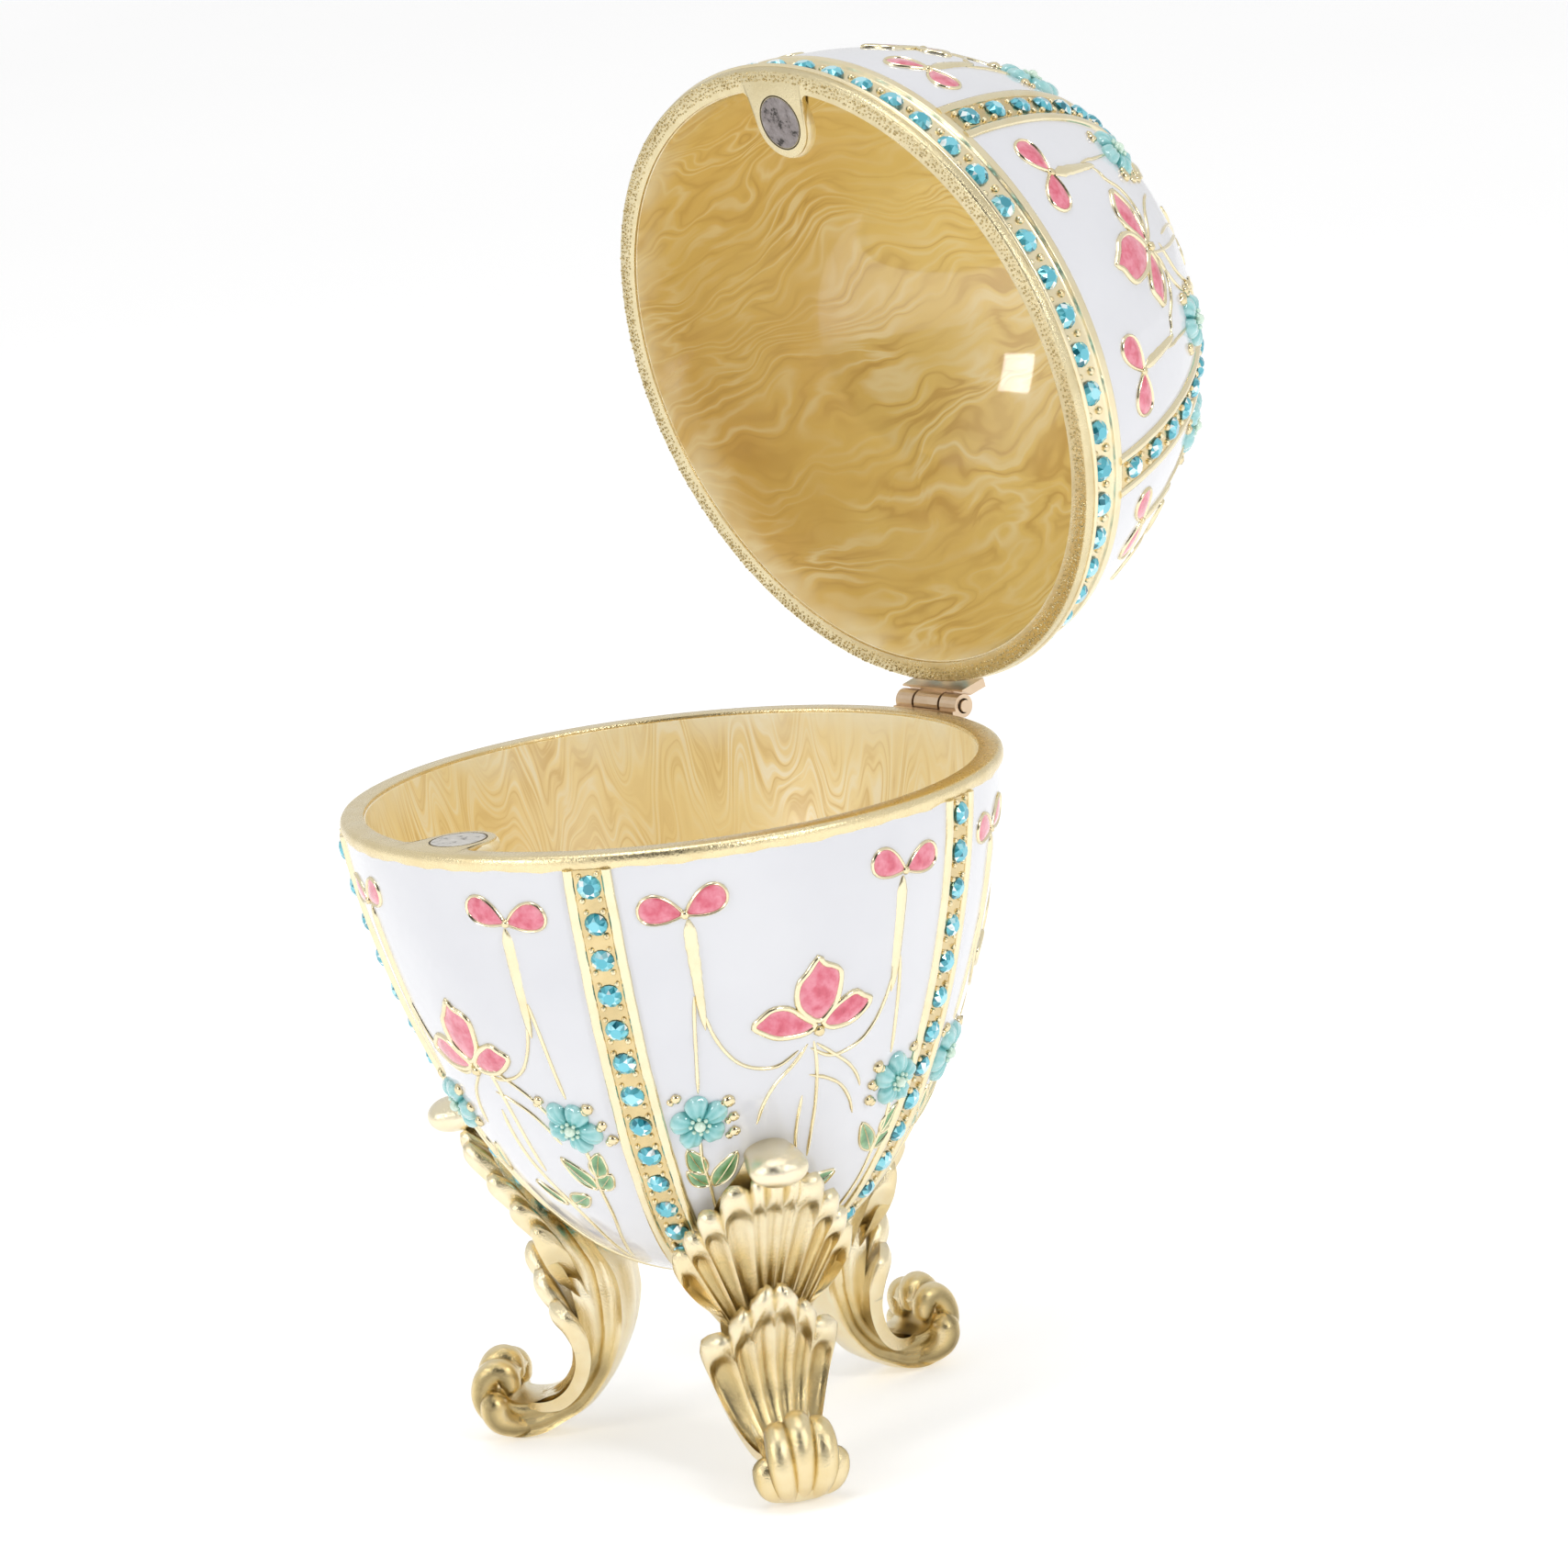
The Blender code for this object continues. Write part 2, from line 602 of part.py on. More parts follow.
def main():
    clear_scene()
    egg = make_empty("egg_axis", (0.0, 0.0, RIM_ABOVE_GROUND))
    lid_axis = make_empty("lid_hinge_axis", (0.0, HINGE_Y, HINGE_Z), egg)
    lid_axis.rotation_euler = (-math.radians(OPEN_ANGLE), 0.0, 0.0)
    build_base(egg)
    build_lid(egg, lid_axis)
    build_hinge(egg, lid_axis)
    centre_footprint(egg)


main()
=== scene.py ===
"""Looks of the jewelled egg trinket box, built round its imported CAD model.

Shapes are drawn in millimetres in the egg's own frame: the origin is the middle of the base's rim,
+Z is up and the hinge is on +Y. Azimuths are in degrees from the hinge and grow towards +X. The lid
is drawn shut and then turned open about the hinge. Each half has its own matrix into the row frame.
"""
import functools
import json
import math

import bpy
import numpy as np
from mathutils import Matrix, Vector

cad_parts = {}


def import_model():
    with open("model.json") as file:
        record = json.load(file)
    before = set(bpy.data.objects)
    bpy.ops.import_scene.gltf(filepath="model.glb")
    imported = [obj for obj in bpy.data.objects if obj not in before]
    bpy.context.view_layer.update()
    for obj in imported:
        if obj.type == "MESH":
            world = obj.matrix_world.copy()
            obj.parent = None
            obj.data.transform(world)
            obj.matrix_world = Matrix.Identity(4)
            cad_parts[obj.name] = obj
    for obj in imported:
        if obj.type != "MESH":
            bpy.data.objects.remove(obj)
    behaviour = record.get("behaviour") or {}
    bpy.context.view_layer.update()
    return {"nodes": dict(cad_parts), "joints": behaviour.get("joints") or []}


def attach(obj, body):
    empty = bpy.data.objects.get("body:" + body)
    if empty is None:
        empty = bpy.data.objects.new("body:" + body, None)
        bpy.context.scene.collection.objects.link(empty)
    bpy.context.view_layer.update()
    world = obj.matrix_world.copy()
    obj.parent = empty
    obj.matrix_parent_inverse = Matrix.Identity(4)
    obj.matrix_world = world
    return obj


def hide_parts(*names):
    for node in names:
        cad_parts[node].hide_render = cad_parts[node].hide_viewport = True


MM = 0.001

# The egg, as its CAD source has it
BASE_RADIUS = 31.1
BASE_DEPTH = 47.3
BASE_DEPTH_POWER = 1.4
BASE_RADIUS_POWER = 2.27
LID_RADIUS = 31.0
LID_HEIGHT = 36.2
LID_POWER = 2.0
LID_TURN = -2.4
WALL = 2.0
BASE_RIM_INNER = 28.9
LID_RIM_INNER = 29.3
PARTING_GAP = 0.3
HINGE_Y = 33.5
BAND_COUNT = 5
BAND_PITCH = 360.0 / BAND_COUNT
BASE_STONE_ARCS = 3.0 + 3.6 * np.arange(14)
LID_STONE_ARCS = 2.1 + 3.85 * np.arange(11)
RING_STONES = 50
RING_STONE_HEIGHT = 2.75
RING_FLOOR_RADIUS = 30.5
RING_TOP = 5.35
STONE_RADIUS = 1.1
RING_STONE_RADIUS = 1.18
LEG_TURN = -2.0
LEG_AZIMUTHS = {"leg_back": LEG_TURN, "leg_front_right": 120.0 + LEG_TURN, "leg_front_left": 240.0 + LEG_TURN}
MAGNET_AZIMUTH = 177.6
MAGNET_OFFSET = 26.15
MAGNET_RADIUS = 2.6
LOBE_RADIUS = 3.5
RIM_DEPTH = 1.1
SKIN_THICKNESS = 0.8
LINING_THICKNESS = 0.6
LINING_PROUD = 0.12
POOLED_WIDTH = 4.0
# Arcs along each half: where the base's bands start, how far the lid's reach under its ring, how far the
# skins reach under the rims, and how far short of the tips the bands and the caps' edges lie
BASE_BANDS_FROM = 1.35
LID_BANDS_LAP = 0.3
SKIN_LAP = 0.6
BANDS_SHORT = 3.0
BASE_CAP_LENGTH = 4.8
LID_CAP_LENGTH = 5.2
BASE_LINING_FROM = 0.45
LID_LINING_FROM = 0.35

# Camera
CAMERA_AZIMUTH = 50.42
CAMERA_ELEVATION = 11.77
CAMERA_ROLL = -6.45
CAMERA_DISTANCE = 534.96
CAMERA_ASIDE = 10.59
CAMERA_RISE = -0.69
CAMERA_LENS = 131.27
SENSOR_WIDTH = 36.0
LIGHT_DISTANCE = 0.8
OBJECT_MIDDLE = Vector((0.0, 0.0, 0.065))
FLOOR_SIZE = 3.0

random = np.random.default_rng(11)


# ---------------------------------------------------------------- meshes

class Solid:
    """Closed shapes gathered into one mesh, in millimetres, with a value on each point."""

    def __init__(self, points=None, faces=(), value=0.0):
        self.points = []
        self.faces = []
        self.values = []
        self.count = 0
        if points is not None:
            self.add(points, faces, value)

    def add(self, points, faces, value=0.0):
        """Add one shape; value is one number, or one for each point."""
        points = np.asarray(points, float).reshape(-1, 3)
        self.points.append(points)
        self.faces += [tuple(index + self.count for index in face) for face in faces]
        self.values.append(np.broadcast_to(np.asarray(value, float), (len(points),)))
        self.count += len(points)

    def mesh(self, name, matrix, material, smooth_angle, face_values):
        """The shapes as one mesh in the row frame."""
        world = np.vstack(self.points) @ matrix[:3, :3].T + matrix[:3, 3]
        mesh = bpy.data.meshes.new(name)
        mesh.from_pydata(world.tolist(), [], self.faces)
        shade = mesh.attributes.new("shade", "FLOAT", "POINT")
        shade.data.foreach_set("value", np.concatenate(self.values).astype(np.float32))
        if face_values is not None:
            spark = mesh.attributes.new("spark", "FLOAT", "FACE")
            spark.data.foreach_set("value", np.asarray(face_values, np.float32))
        mesh.materials.append(material)
        if smooth_angle > 0.0:
            mesh.shade_smooth()
            mesh.set_sharp_from_angle(angle=math.radians(smooth_angle))
        mesh.update()
        return mesh


class Side:
    """A family of pieces on one body, with the CAD node that they stand for."""

    def __init__(self, name, body, node, matrix, materials):
        self.name = name
        self.body = body
        self.node = node
        self.matrix = matrix
        self.materials = materials

    def show(self, solid, label, look, slot, smooth_angle=40.0, node=None, face_values=None):
        """Make one piece; it may stand for a node other than the family's, or for none at all."""
        name = f"{self.name}_{label}"
        item = bpy.data.objects.new(
            name, solid.mesh(name, self.matrix, self.materials[look], smooth_angle, face_values))
        bpy.context.scene.collection.objects.link(item)
        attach(item, self.body)
        node = self.node if node is None else node
        if node:
            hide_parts(node)


def grid_faces(rows, columns, wrap_rows=False, wrap_columns=False):
    """Quads of a grid whose points are listed row by row."""
    faces = []
    for row in range(rows if wrap_rows else rows - 1):
        after = (row + 1) % rows
        for column in range(columns if wrap_columns else columns - 1):
            beside = (column + 1) % columns
            faces.append((row * columns + column, row * columns + beside,
                          after * columns + beside, after * columns + column))
    return faces


def loft(loops, cap_start=True, cap_end=True):
    """Faces of closed loops of equal count, one after another, with flat ends."""
    rows = len(loops)
    columns = len(loops[0])
    faces = grid_faces(rows, columns, wrap_columns=True)
    if cap_start:
        faces.append(tuple(range(columns))[::-1])
    if cap_end:
        faces.append(tuple(range((rows - 1) * columns, rows * columns)))
    return np.vstack(loops), faces


def around(turn, radius, height):
    """Points at azimuths in radians, at distances from the axis and at heights."""
    return np.column_stack(np.broadcast_arrays(radius * np.sin(turn), radius * np.cos(turn), height))


def lathe(section, steps):
    """A closed ring turned about the axis from a closed section of radii and heights."""
    radii, heights = np.asarray(section, float).T
    loops = [around(turn, radii, heights) for turn in np.radians(np.arange(steps) * 360.0 / steps)]
    return np.vstack(loops), grid_faces(steps, len(radii), wrap_rows=True, wrap_columns=True)


def catmull_rom(padded, steps):
    """Rows on the smooth curve through a table's rows, from its second to its last but two."""
    t = (np.arange(steps) / steps)[:, None]
    return np.vstack([0.5 * (2 * b + (c - a) * t + (2 * a - 5 * b + 4 * c - d) * t ** 2
                             + (3 * b - a - 3 * c + d) * t ** 3)
                      for a, b, c, d in zip(padded, padded[1:], padded[2:], padded[3:])])


def smooth_rows(rows, steps):
    """Rows of a table with Catmull-Rom rows put between them."""
    rows = np.asarray(rows, float)
    padded = np.vstack((2 * rows[0] - rows[1], rows, 2 * rows[-1] - rows[-2]))
    return np.vstack((catmull_rom(padded, steps), rows[-1:]))


def smooth_line(points, spacing, closed=False):
    """A Catmull-Rom curve through the points, sampled evenly."""
    points = np.asarray(points, float)
    if closed:
        fine = np.vstack((catmull_rom(np.vstack((points[-1:], points, points[:2])), 12), points[:1]))
    else:
        fine = smooth_rows(points, 12)
    lengths = np.concatenate(([0.0], np.cumsum(np.linalg.norm(np.diff(fine[:, :2], axis=0), axis=1))))
    count = max(int(round(lengths[-1] / spacing)), 3)
    places = np.linspace(0.0, lengths[-1], count + 1)
    if closed:
        places = places[:-1]
    return np.column_stack([np.interp(places, lengths, column) for column in fine.T])


def ball(level):
    """A small ball of triangles with unit radius: 20 faces, or 80 at level 1."""
    golden = (1.0 + math.sqrt(5.0)) / 2.0
    points = [(-1, golden, 0), (1, golden, 0), (-1, -golden, 0), (1, -golden, 0), (0, -1, golden),
              (0, 1, golden), (0, -1, -golden), (0, 1, -golden), (golden, 0, -1), (golden, 0, 1),
              (-golden, 0, -1), (-golden, 0, 1)]
    points = [np.array(point) / math.hypot(1.0, golden) for point in points]
    faces = [(0, 11, 5), (0, 5, 1), (0, 1, 7), (0, 7, 10), (0, 10, 11), (1, 5, 9), (5, 11, 4), (11, 10, 2),
             (10, 7, 6), (7, 1, 8), (3, 9, 4), (3, 4, 2), (3, 2, 6), (3, 6, 8), (3, 8, 9), (4, 9, 5),
             (2, 4, 11), (6, 2, 10), (8, 6, 7), (9, 8, 1)]
    for _ in range(level):
        middles = {}
        finer = []
        for face in faces:
            halves = []
            for first, second in zip(face, face[1:] + face[:1]):
                key = (min(first, second), max(first, second))
                if key not in middles:
                    middle = points[first] + points[second]
                    middles[key] = len(points)
                    points.append(middle / np.linalg.norm(middle))
                halves.append(middles[key])
            a, b, c = face
            ab, bc, ca = halves
            finer += [(a, ab, ca), (b, bc, ab), (c, ca, bc), (ab, bc, ca)]
        faces = finer
    return np.array(points), faces


def unit(rows):
    """Rows made one long."""
    return rows / np.linalg.norm(rows, axis=1)[:, None]


# ---------------------------------------------------------------- the two halves

class Half:
    """The outline of one half of the egg."""

    SAMPLES = 3000

    def __init__(self, radius, height, height_power, radius_power, direction):
        part = np.sin(np.linspace(0.0, math.pi / 2.0, self.SAMPLES))
        self.radii = radius * np.maximum(1.0 - part ** height_power, 0.0) ** (1.0 / radius_power)
        self.heights = direction * height * part
        steps = np.hypot(np.diff(self.radii), np.diff(self.heights))
        self.arcs = np.concatenate(([0.0], np.cumsum(steps)))
        self.length = float(self.arcs[-1])
        slope_r = np.gradient(self.radii, self.arcs)
        slope_z = np.gradient(self.heights, self.arcs)
        size = np.hypot(slope_r, slope_z)
        self.out_r = direction * slope_z / size
        self.out_z = -direction * slope_r / size
        self.direction = direction

    def radius(self, arc):
        """Distance from the axis at a distance along the outline."""
        return np.interp(arc, self.arcs, self.radii)

    def arc_at(self, height):
        """Distance along the outline to a height."""
        return float(np.interp(abs(height), np.abs(self.heights), self.arcs))

    def at(self, azimuth, arc, offset=0.0):
        """Points on the outline, moved out by the offset."""
        radius = self.radius(arc) + offset * np.interp(arc, self.arcs, self.out_r)
        height = np.interp(arc, self.arcs, self.heights) + offset * np.interp(arc, self.arcs, self.out_z)
        return around(np.radians(azimuth), radius, height)

    def normal(self, azimuth, arc):
        """Outward directions on the outline."""
        out_r = np.interp(arc, self.arcs, self.out_r)
        return around(np.radians(azimuth), out_r, np.interp(arc, self.arcs, self.out_z))

    def azimuth(self, centre, across, arc):
        """Azimuth of a point so far across from a meridian."""
        return centre + np.degrees(across / np.maximum(self.radius(arc), 0.5))

    def local_frame(self, azimuth, arc, offset):
        """A point on the skin with its across, along and outward directions."""
        outward = self.normal(azimuth, arc)[0]
        turn = math.radians(azimuth)
        across = np.array((math.cos(turn), -math.sin(turn), 0.0))
        return self.at(azimuth, arc, offset)[0], np.column_stack((across, np.cross(outward, across), outward))


def rim_centre(frame):
    """The middle of the base's rim in the row frame, from the hinge that the lid turns on."""
    joint = frame["joints"][0]
    return np.array(joint["pos_m"]) - np.array((0.0, HINGE_Y * MM, 0.0))


def base_matrix(frame):
    """From millimetres about the base's rim to the row frame."""
    matrix = np.eye(4)
    matrix[:3, :3] *= MM
    matrix[:3, 3] = rim_centre(frame)
    return matrix


def lid_matrix(frame):
    """The same for the lid, drawn shut and then opened about the hinge."""
    joint = frame["joints"][0]
    angle = -math.radians(joint["range_deg"][1])
    hinge = np.array((0.0, HINGE_Y, 0.0))
    turn = np.array(Matrix.Rotation(angle, 3, "X"))
    lift = np.array((0.0, 0.0, PARTING_GAP))
    matrix = np.eye(4)
    matrix[:3, :3] = turn * MM
    matrix[:3, 3] = np.array(joint["pos_m"]) + turn @ (lift - hinge) * MM
    return matrix


# ---------------------------------------------------------------- materials

class Nodes:
    """A node tree, with short names for the nodes that it is made of."""

    def __init__(self, tree):
        self.tree = tree

    def put(self, kind, inputs=None, **settings):
        """One node with its settings, its values and its links."""
        node = self.tree.nodes.new(kind)
        for key, value in settings.items():
            setattr(node, key, value)
        for socket, value in (inputs or {}).items():
            if isinstance(value, bpy.types.NodeSocket):
                self.tree.links.new(value, node.inputs[socket])
            else:
                node.inputs[socket].default_value = value
        return node

    def ramp(self, factor, stops):
        """A colour ramp from positions to colours or greys."""
        node = self.put("ShaderNodeValToRGB", {0: factor})
        elements = node.color_ramp.elements
        while len(elements) < len(stops):
            elements.new(0.5)
        for element, (position, colour) in zip(elements, stops):
            element.position = position
            element.color = (*colour, 1.0) if isinstance(colour, tuple) else (colour, colour, colour, 1.0)
        return node.outputs[0]

    def maths(self, operation, first, second=0.0):
        """One sum on numbers."""
        return self.put("ShaderNodeMath", {0: first, 1: second}, operation=operation).outputs[0]

    def plus(self, first, second):
        """The sum of two numbers."""
        return self.maths("ADD", first, second)

    def minus(self, first, second):
        """The first number less the second."""
        return self.maths("SUBTRACT", first, second)

    def times(self, first, second):
        """The product of two numbers."""
        return self.maths("MULTIPLY", first, second)

    def stretch(self, vector, scales):
        """A vector scaled along its three axes."""
        return self.put("ShaderNodeVectorMath", {0: vector, 1: scales}, operation="MULTIPLY").outputs[0]

    def dot(self, vector, axis):
        """How far a vector reaches along an axis."""
        node = self.put("ShaderNodeVectorMath", {0: vector, 1: axis}, operation="DOT_PRODUCT")
        return node.outputs["Value"]

    def blend(self, factor, first, second):
        """A colour between two."""
        return self.put("ShaderNodeMix", {"Factor": factor, "A": first, "B": second},
                        data_type="RGBA").outputs["Result"]


class Look(Nodes):
    """A material made round one Principled shader, some of whose values are plain."""

    def __init__(self, name, plain):
        self.material = bpy.data.materials.new(name)
        self.material.use_nodes = True
        super().__init__(self.material.node_tree)
        self.shader = self.tree.nodes["Principled BSDF"]
        for socket, value in plain.items():
            self.shader.inputs[socket].default_value = value

    @functools.cached_property
    def place(self):
        """The piece's own coordinates, in millimetres."""
        return self.stretch(self.put("ShaderNodeTexCoord").outputs["Object"], (1000.0, 1000.0, 1000.0))

    def noise(self, scale, detail=3.0, roughness=0.5, vector=None):
        """A noise in the piece's own coordinates or in others."""
        where = self.place if vector is None else vector
        return self.put("ShaderNodeTexNoise", {"Vector": where, "Scale": scale, "Detail": detail,
                                               "Roughness": roughness}).outputs[0]

    def value(self, name):
        """A number kept on the mesh."""
        return self.put("ShaderNodeAttribute", attribute_name=name).outputs["Fac"]

    def drive(self, socket, output):
        """Lead an output to the shader."""
        self.tree.links.new(output, self.shader.inputs[socket])

    def bump(self, height, strength, distance):
        """Fine relief, its distance in millimetres."""
        inputs = {"Height": height, "Strength": strength, "Distance": distance * MM}
        self.drive("Normal", self.put("ShaderNodeBump", inputs).outputs[0])


# Near-black brown for painted dark reflection and shade on the gold, reached where the shade value is highest
PAINTED_DARK_REFLECTION = (0.15, 0.11, 0.05)
POOLED = (0.96, 0.90, 0.68, 1.0)


def gold_material(name, light, deep, rough_low, rough_high, grain_scale, grain_depth):
    """Plated cast metal: deeper colour in random patches and, by the shade value, a painted shade and dark
    reflection in hollows, down to a near-black brown; with a fine cast grain.
    """
    look = Look(name, {"Metallic": 1.0})
    patches = look.noise(0.35, 4.0, 0.6)
    grain = look.noise(grain_scale, 3.0, 0.65)
    # The shade value darkens the gold: painted shade and dark reflection
    depth = look.times(look.plus(look.value("shade"), look.times(patches, 0.55)), 0.5)
    look.drive("Base Color", look.ramp(depth, ((0.12, light), (0.40, deep), (0.80, PAINTED_DARK_REFLECTION))))
    mixed = look.plus(look.times(patches, 0.6), look.times(grain, 0.4))
    look.drive("Roughness", look.ramp(mixed, ((0.3, rough_low), (0.7, rough_high))))
    look.bump(grain, 0.5, grain_depth)
    return look.material


def enamel_material():
    """White glossy enamel, poured a little unevenly."""
    look = Look("white_enamel", {"Coat Weight": 0.5, "Coat Roughness": 0.03})
    tints = ((0.3, (0.705, 0.71, 0.745)), (0.7, (0.745, 0.75, 0.78)))
    look.drive("Base Color", look.ramp(look.noise(0.08, 2.0), tints))
    look.drive("Roughness", look.ramp(look.noise(0.6), ((0.3, 0.06), (0.7, 0.12))))
    look.bump(look.noise(0.16, 2.0), 0.35, 0.5)
    return look.material


def glaze_material(name, stops, patch_scale=0.9, shade_share=0.75):
    """Coloured glass enamel: thick and deep at the middle of a cell, thin and pale at its edge."""
    look = Look(name, {"Roughness": 0.16, "Coat Weight": 1.0, "Coat Roughness": 0.03})
    patches = look.times(look.minus(look.noise(patch_scale, 3.0, 0.55), 0.4), 1.4 - shade_share)
    depth = look.plus(look.times(look.value("shade"), shade_share), patches)
    look.drive("Base Color", look.ramp(depth, stops))
    look.bump(look.noise(1.6, 2.0), 0.25, 0.12)
    return look.material


def lining_material(name, axes, stretch, warps, waves, sheen_grade, tones, light, dark, polish):
    """Pearly enamel poured inside: fine light and dark lines along a flow that wanders across itself.

    The axes run along the flow, across it and through it. Each warp is a noise, scaled along the three
    axes, that moves the flow across by so many millimetres. The sheen grade, a painted sheen that lightens
    the tone along the flow, is where along the flow the tone is at its middle, and the length it takes from
    its darkest to its lightest.
    """
    look = Look(name, {"Coat Weight": 1.0, "Coat Roughness": polish, "Coat IOR": 1.7})
    flow = [look.dot(look.place, axis) for axis in axes]

    def flow_noise(scales, *settings):
        """A noise drawn out along the flow."""
        scaled = [look.times(part, scale) for part, scale in zip(flow, scales)]
        vector = look.put("ShaderNodeCombineXYZ", {0: scaled[0], 1: scaled[1], 2: scaled[2]}).outputs[0]
        return look.noise(1.0, *settings, vector=vector)

    for scales, amount in warps:
        wander = look.minus(flow_noise(scales, 1.0), 0.5)
        flow[1] = look.plus(flow[1], look.times(wander, amount))
    wave = look.maths("SINE", look.times(flow_noise(stretch, 4.0, 0.42), waves))
    wave = look.plus(look.times(wave, 0.5), 0.5)
    strength = look.ramp(look.noise(0.10, 2.0), ((0.36, 0.2), (0.64, 1.0)))
    lit = look.times(look.ramp(wave, ((0.0, 0.7), (0.10, 0.35), (0.4, 0.0))), strength)
    shaded = look.times(look.ramp(wave, ((0.6, 0.0), (0.9, 0.28), (1.0, 0.6))), strength)
    # Painted sheen: the tone grows lighter further along the flow
    painted_sheen = look.maths("DIVIDE", look.minus(flow[0], sheen_grade[0]), sheen_grade[1])
    cloudy = look.times(look.minus(look.noise(0.06, 2.0), 0.5), 0.7)
    tone = look.ramp(look.plus(look.plus(painted_sheen, cloudy), 0.5), tones)
    streaked = look.blend(shaded, look.blend(lit, tone, light), dark)
    uneven = look.ramp(look.noise(0.18, 2.0), ((0.35, 0.15), (0.6, 0.85)))
    look.drive("Base Color", look.blend(look.times(look.value("shade"), uneven), streaked, POOLED))
    look.drive("Roughness", look.ramp(wave, ((0.0, 0.40), (1.0, 0.50))))
    look.bump(wave, 0.15, 0.12)
    return look.material


def stone_material():
    """Foiled turquoise glass: the share of light each facet throws back is painted into its colour, a painted
    reflection.
    """
    look = Look("turquoise_stone", {"Roughness": 0.06, "Metallic": 0.35, "Coat Weight": 1.0,
                                    "Coat Roughness": 0.01})
    stops = ((0.0, (0.01, 0.16, 0.22)), (0.3, (0.05, 0.40, 0.50)), (0.6, (0.17, 0.62, 0.74)),
             (0.82, (0.42, 0.82, 0.90)), (1.0, (0.90, 0.99, 1.0)))
    look.drive("Base Color", look.ramp(look.value("spark"), stops))
    return look.material


def magnet_material(name, stops):
    """Worn nickel on a magnet: grey, scuffed and a little brown; a lighter copy paints in a bright
    reflection.
    """
    look = Look(name, {"Metallic": 0.85})
    scratches = look.noise(1.0, 4.0, 0.7, look.stretch(look.place, (6.0, 0.8, 6.0)))
    look.drive("Base Color", look.ramp(look.noise(0.9, 5.0, 0.7), stops))
    look.drive("Roughness", look.ramp(scratches, ((0.3, 0.30), (0.7, 0.6))))
    look.bump(scratches, 0.5, 0.04)
    return look.material


# Light colour, deep colour, lowest and highest roughness, scale and depth of the grain
GOLDS = {
    "polished_gold": ((0.87, 0.78, 0.54), (0.72, 0.57, 0.30), 0.14, 0.27, 3.0, 0.03),
    "cast_gold": ((0.91, 0.82, 0.60), (0.76, 0.60, 0.30), 0.10, 0.26, 6.0, 0.10),
    "grain_gold": ((0.90, 0.80, 0.55), (0.74, 0.58, 0.30), 0.24, 0.40, 5.0, 0.03),
    "lid_rim_gold": ((0.74, 0.64, 0.40), (0.52, 0.41, 0.19), 0.20, 0.40, 4.5, 0.12),
    "base_rim_gold": ((0.84, 0.71, 0.43), (0.62, 0.47, 0.21), 0.18, 0.36, 4.5, 0.10),
    "hinge_brass": ((0.74, 0.57, 0.40), (0.46, 0.31, 0.19), 0.28, 0.45, 3.0, 0.04),
    "dark_joint": ((0.10, 0.08, 0.05), (0.04, 0.03, 0.02), 0.5, 0.7, 4.0, 0.02),
}
# Colours from the edge of a cell to its middle, scale of the patches and share of the depth in them
GLAZES = {
    "pink_enamel": (((0.0, (0.84, 0.305, 0.376)), (0.2, (0.775, 0.205, 0.283)),
                     (0.42, (0.68, 0.091, 0.156)), (0.62, (0.546, 0.045, 0.091))), 0.9, 0.3),
    "turquoise_enamel": (((0.0, (0.08, 0.38, 0.37)), (0.35, (0.16, 0.50, 0.50)), (0.8, (0.38, 0.69, 0.69))),
                         1.2, 0.9),
    "flower_heart": (((0.0, (0.55, 0.80, 0.66)), (1.0, (0.85, 0.90, 0.75))), 2.0),
    "green_enamel": (((0.0, (0.45, 0.62, 0.40)), (0.4, (0.16, 0.38, 0.15)), (0.9, (0.03, 0.16, 0.04))), 1.1),
}
# What lining_material takes: axes, stretch, warps, waves, sheen grade (a painted sheen along the flow),
# tones, light, dark and polish
LININGS = {
    "honey_pearl": (
        ((1.0, 0.0, 0.0), (0.0, 0.0, 1.0), (0.0, 1.0, 0.0)), (0.07, 0.24, 0.07),
        (((0.26, 0.030, 0.26), 34.0),), 34.0, (0.0, 300.0),
        ((0.25, (0.87, 0.66, 0.27)), (0.5, (0.94, 0.77, 0.39)), (0.75, (0.98, 0.88, 0.58))),
        (1.0, 0.97, 0.82, 1.0), (0.66, 0.42, 0.12, 1.0), 0.16),
    "amber_pearl": (
        ((0.61, 0.73, 0.30), (-0.19, -0.23, 0.954), (0.766, -0.643, 0.0)), (0.025, 0.18, 0.05),
        (((0.040, 0.040, 0.040), 18.0), ((0.11, 0.11, 0.11), 8.0), ((0.28, 0.28, 0.28), 2.4)),
        70.0, (47.0, 75.0),
        ((0.1, (0.75, 0.51, 0.15)), (0.5, (0.87, 0.68, 0.245)), (0.9, (0.96, 0.79, 0.33))),
        (0.98, 0.89, 0.60, 1.0), (0.56, 0.33, 0.08, 1.0), 0.06),
}
NICKELS = {
    "worn_nickel": (((0.36, (0.05, 0.045, 0.04)), (0.44, (0.25, 0.22, 0.215)), (0.75, (0.38, 0.35, 0.345))),),
    # The base's magnet: the same nickel made lighter, a painted bright reflection
    "bright_nickel": (((0.34, (0.2, 0.19, 0.17)), (0.44, (0.66, 0.64, 0.60)), (0.75, (0.86, 0.84, 0.80))),),
}


def make_materials():
    """Every material, by its name."""
    materials = {"white_enamel": enamel_material(), "turquoise_stone": stone_material()}
    for make, table in ((gold_material, GOLDS), (glaze_material, GLAZES), (lining_material, LININGS),
                        (magnet_material, NICKELS)):
        for name, values in table.items():
            materials[name] = make(name, *values)
    return materials


# ---------------------------------------------------------------- shells, linings and rims

def enamel_shell(half, first_arc, rows=130, columns=240):
    """The white skin of one half, from its rim to its tip."""
    azimuths = np.arange(columns) * 360.0 / columns
    arcs = np.linspace(first_arc, half.length - 0.05, rows)
    loops = [half.at(azimuths, arc) for arc in arcs]
    loops += [half.at(azimuths, arc, -SKIN_THICKNESS) for arc in (*arcs[::-4], arcs[0])]
    return Solid(np.vstack(loops), grid_faces(len(loops), columns, wrap_rows=True, wrap_columns=True))


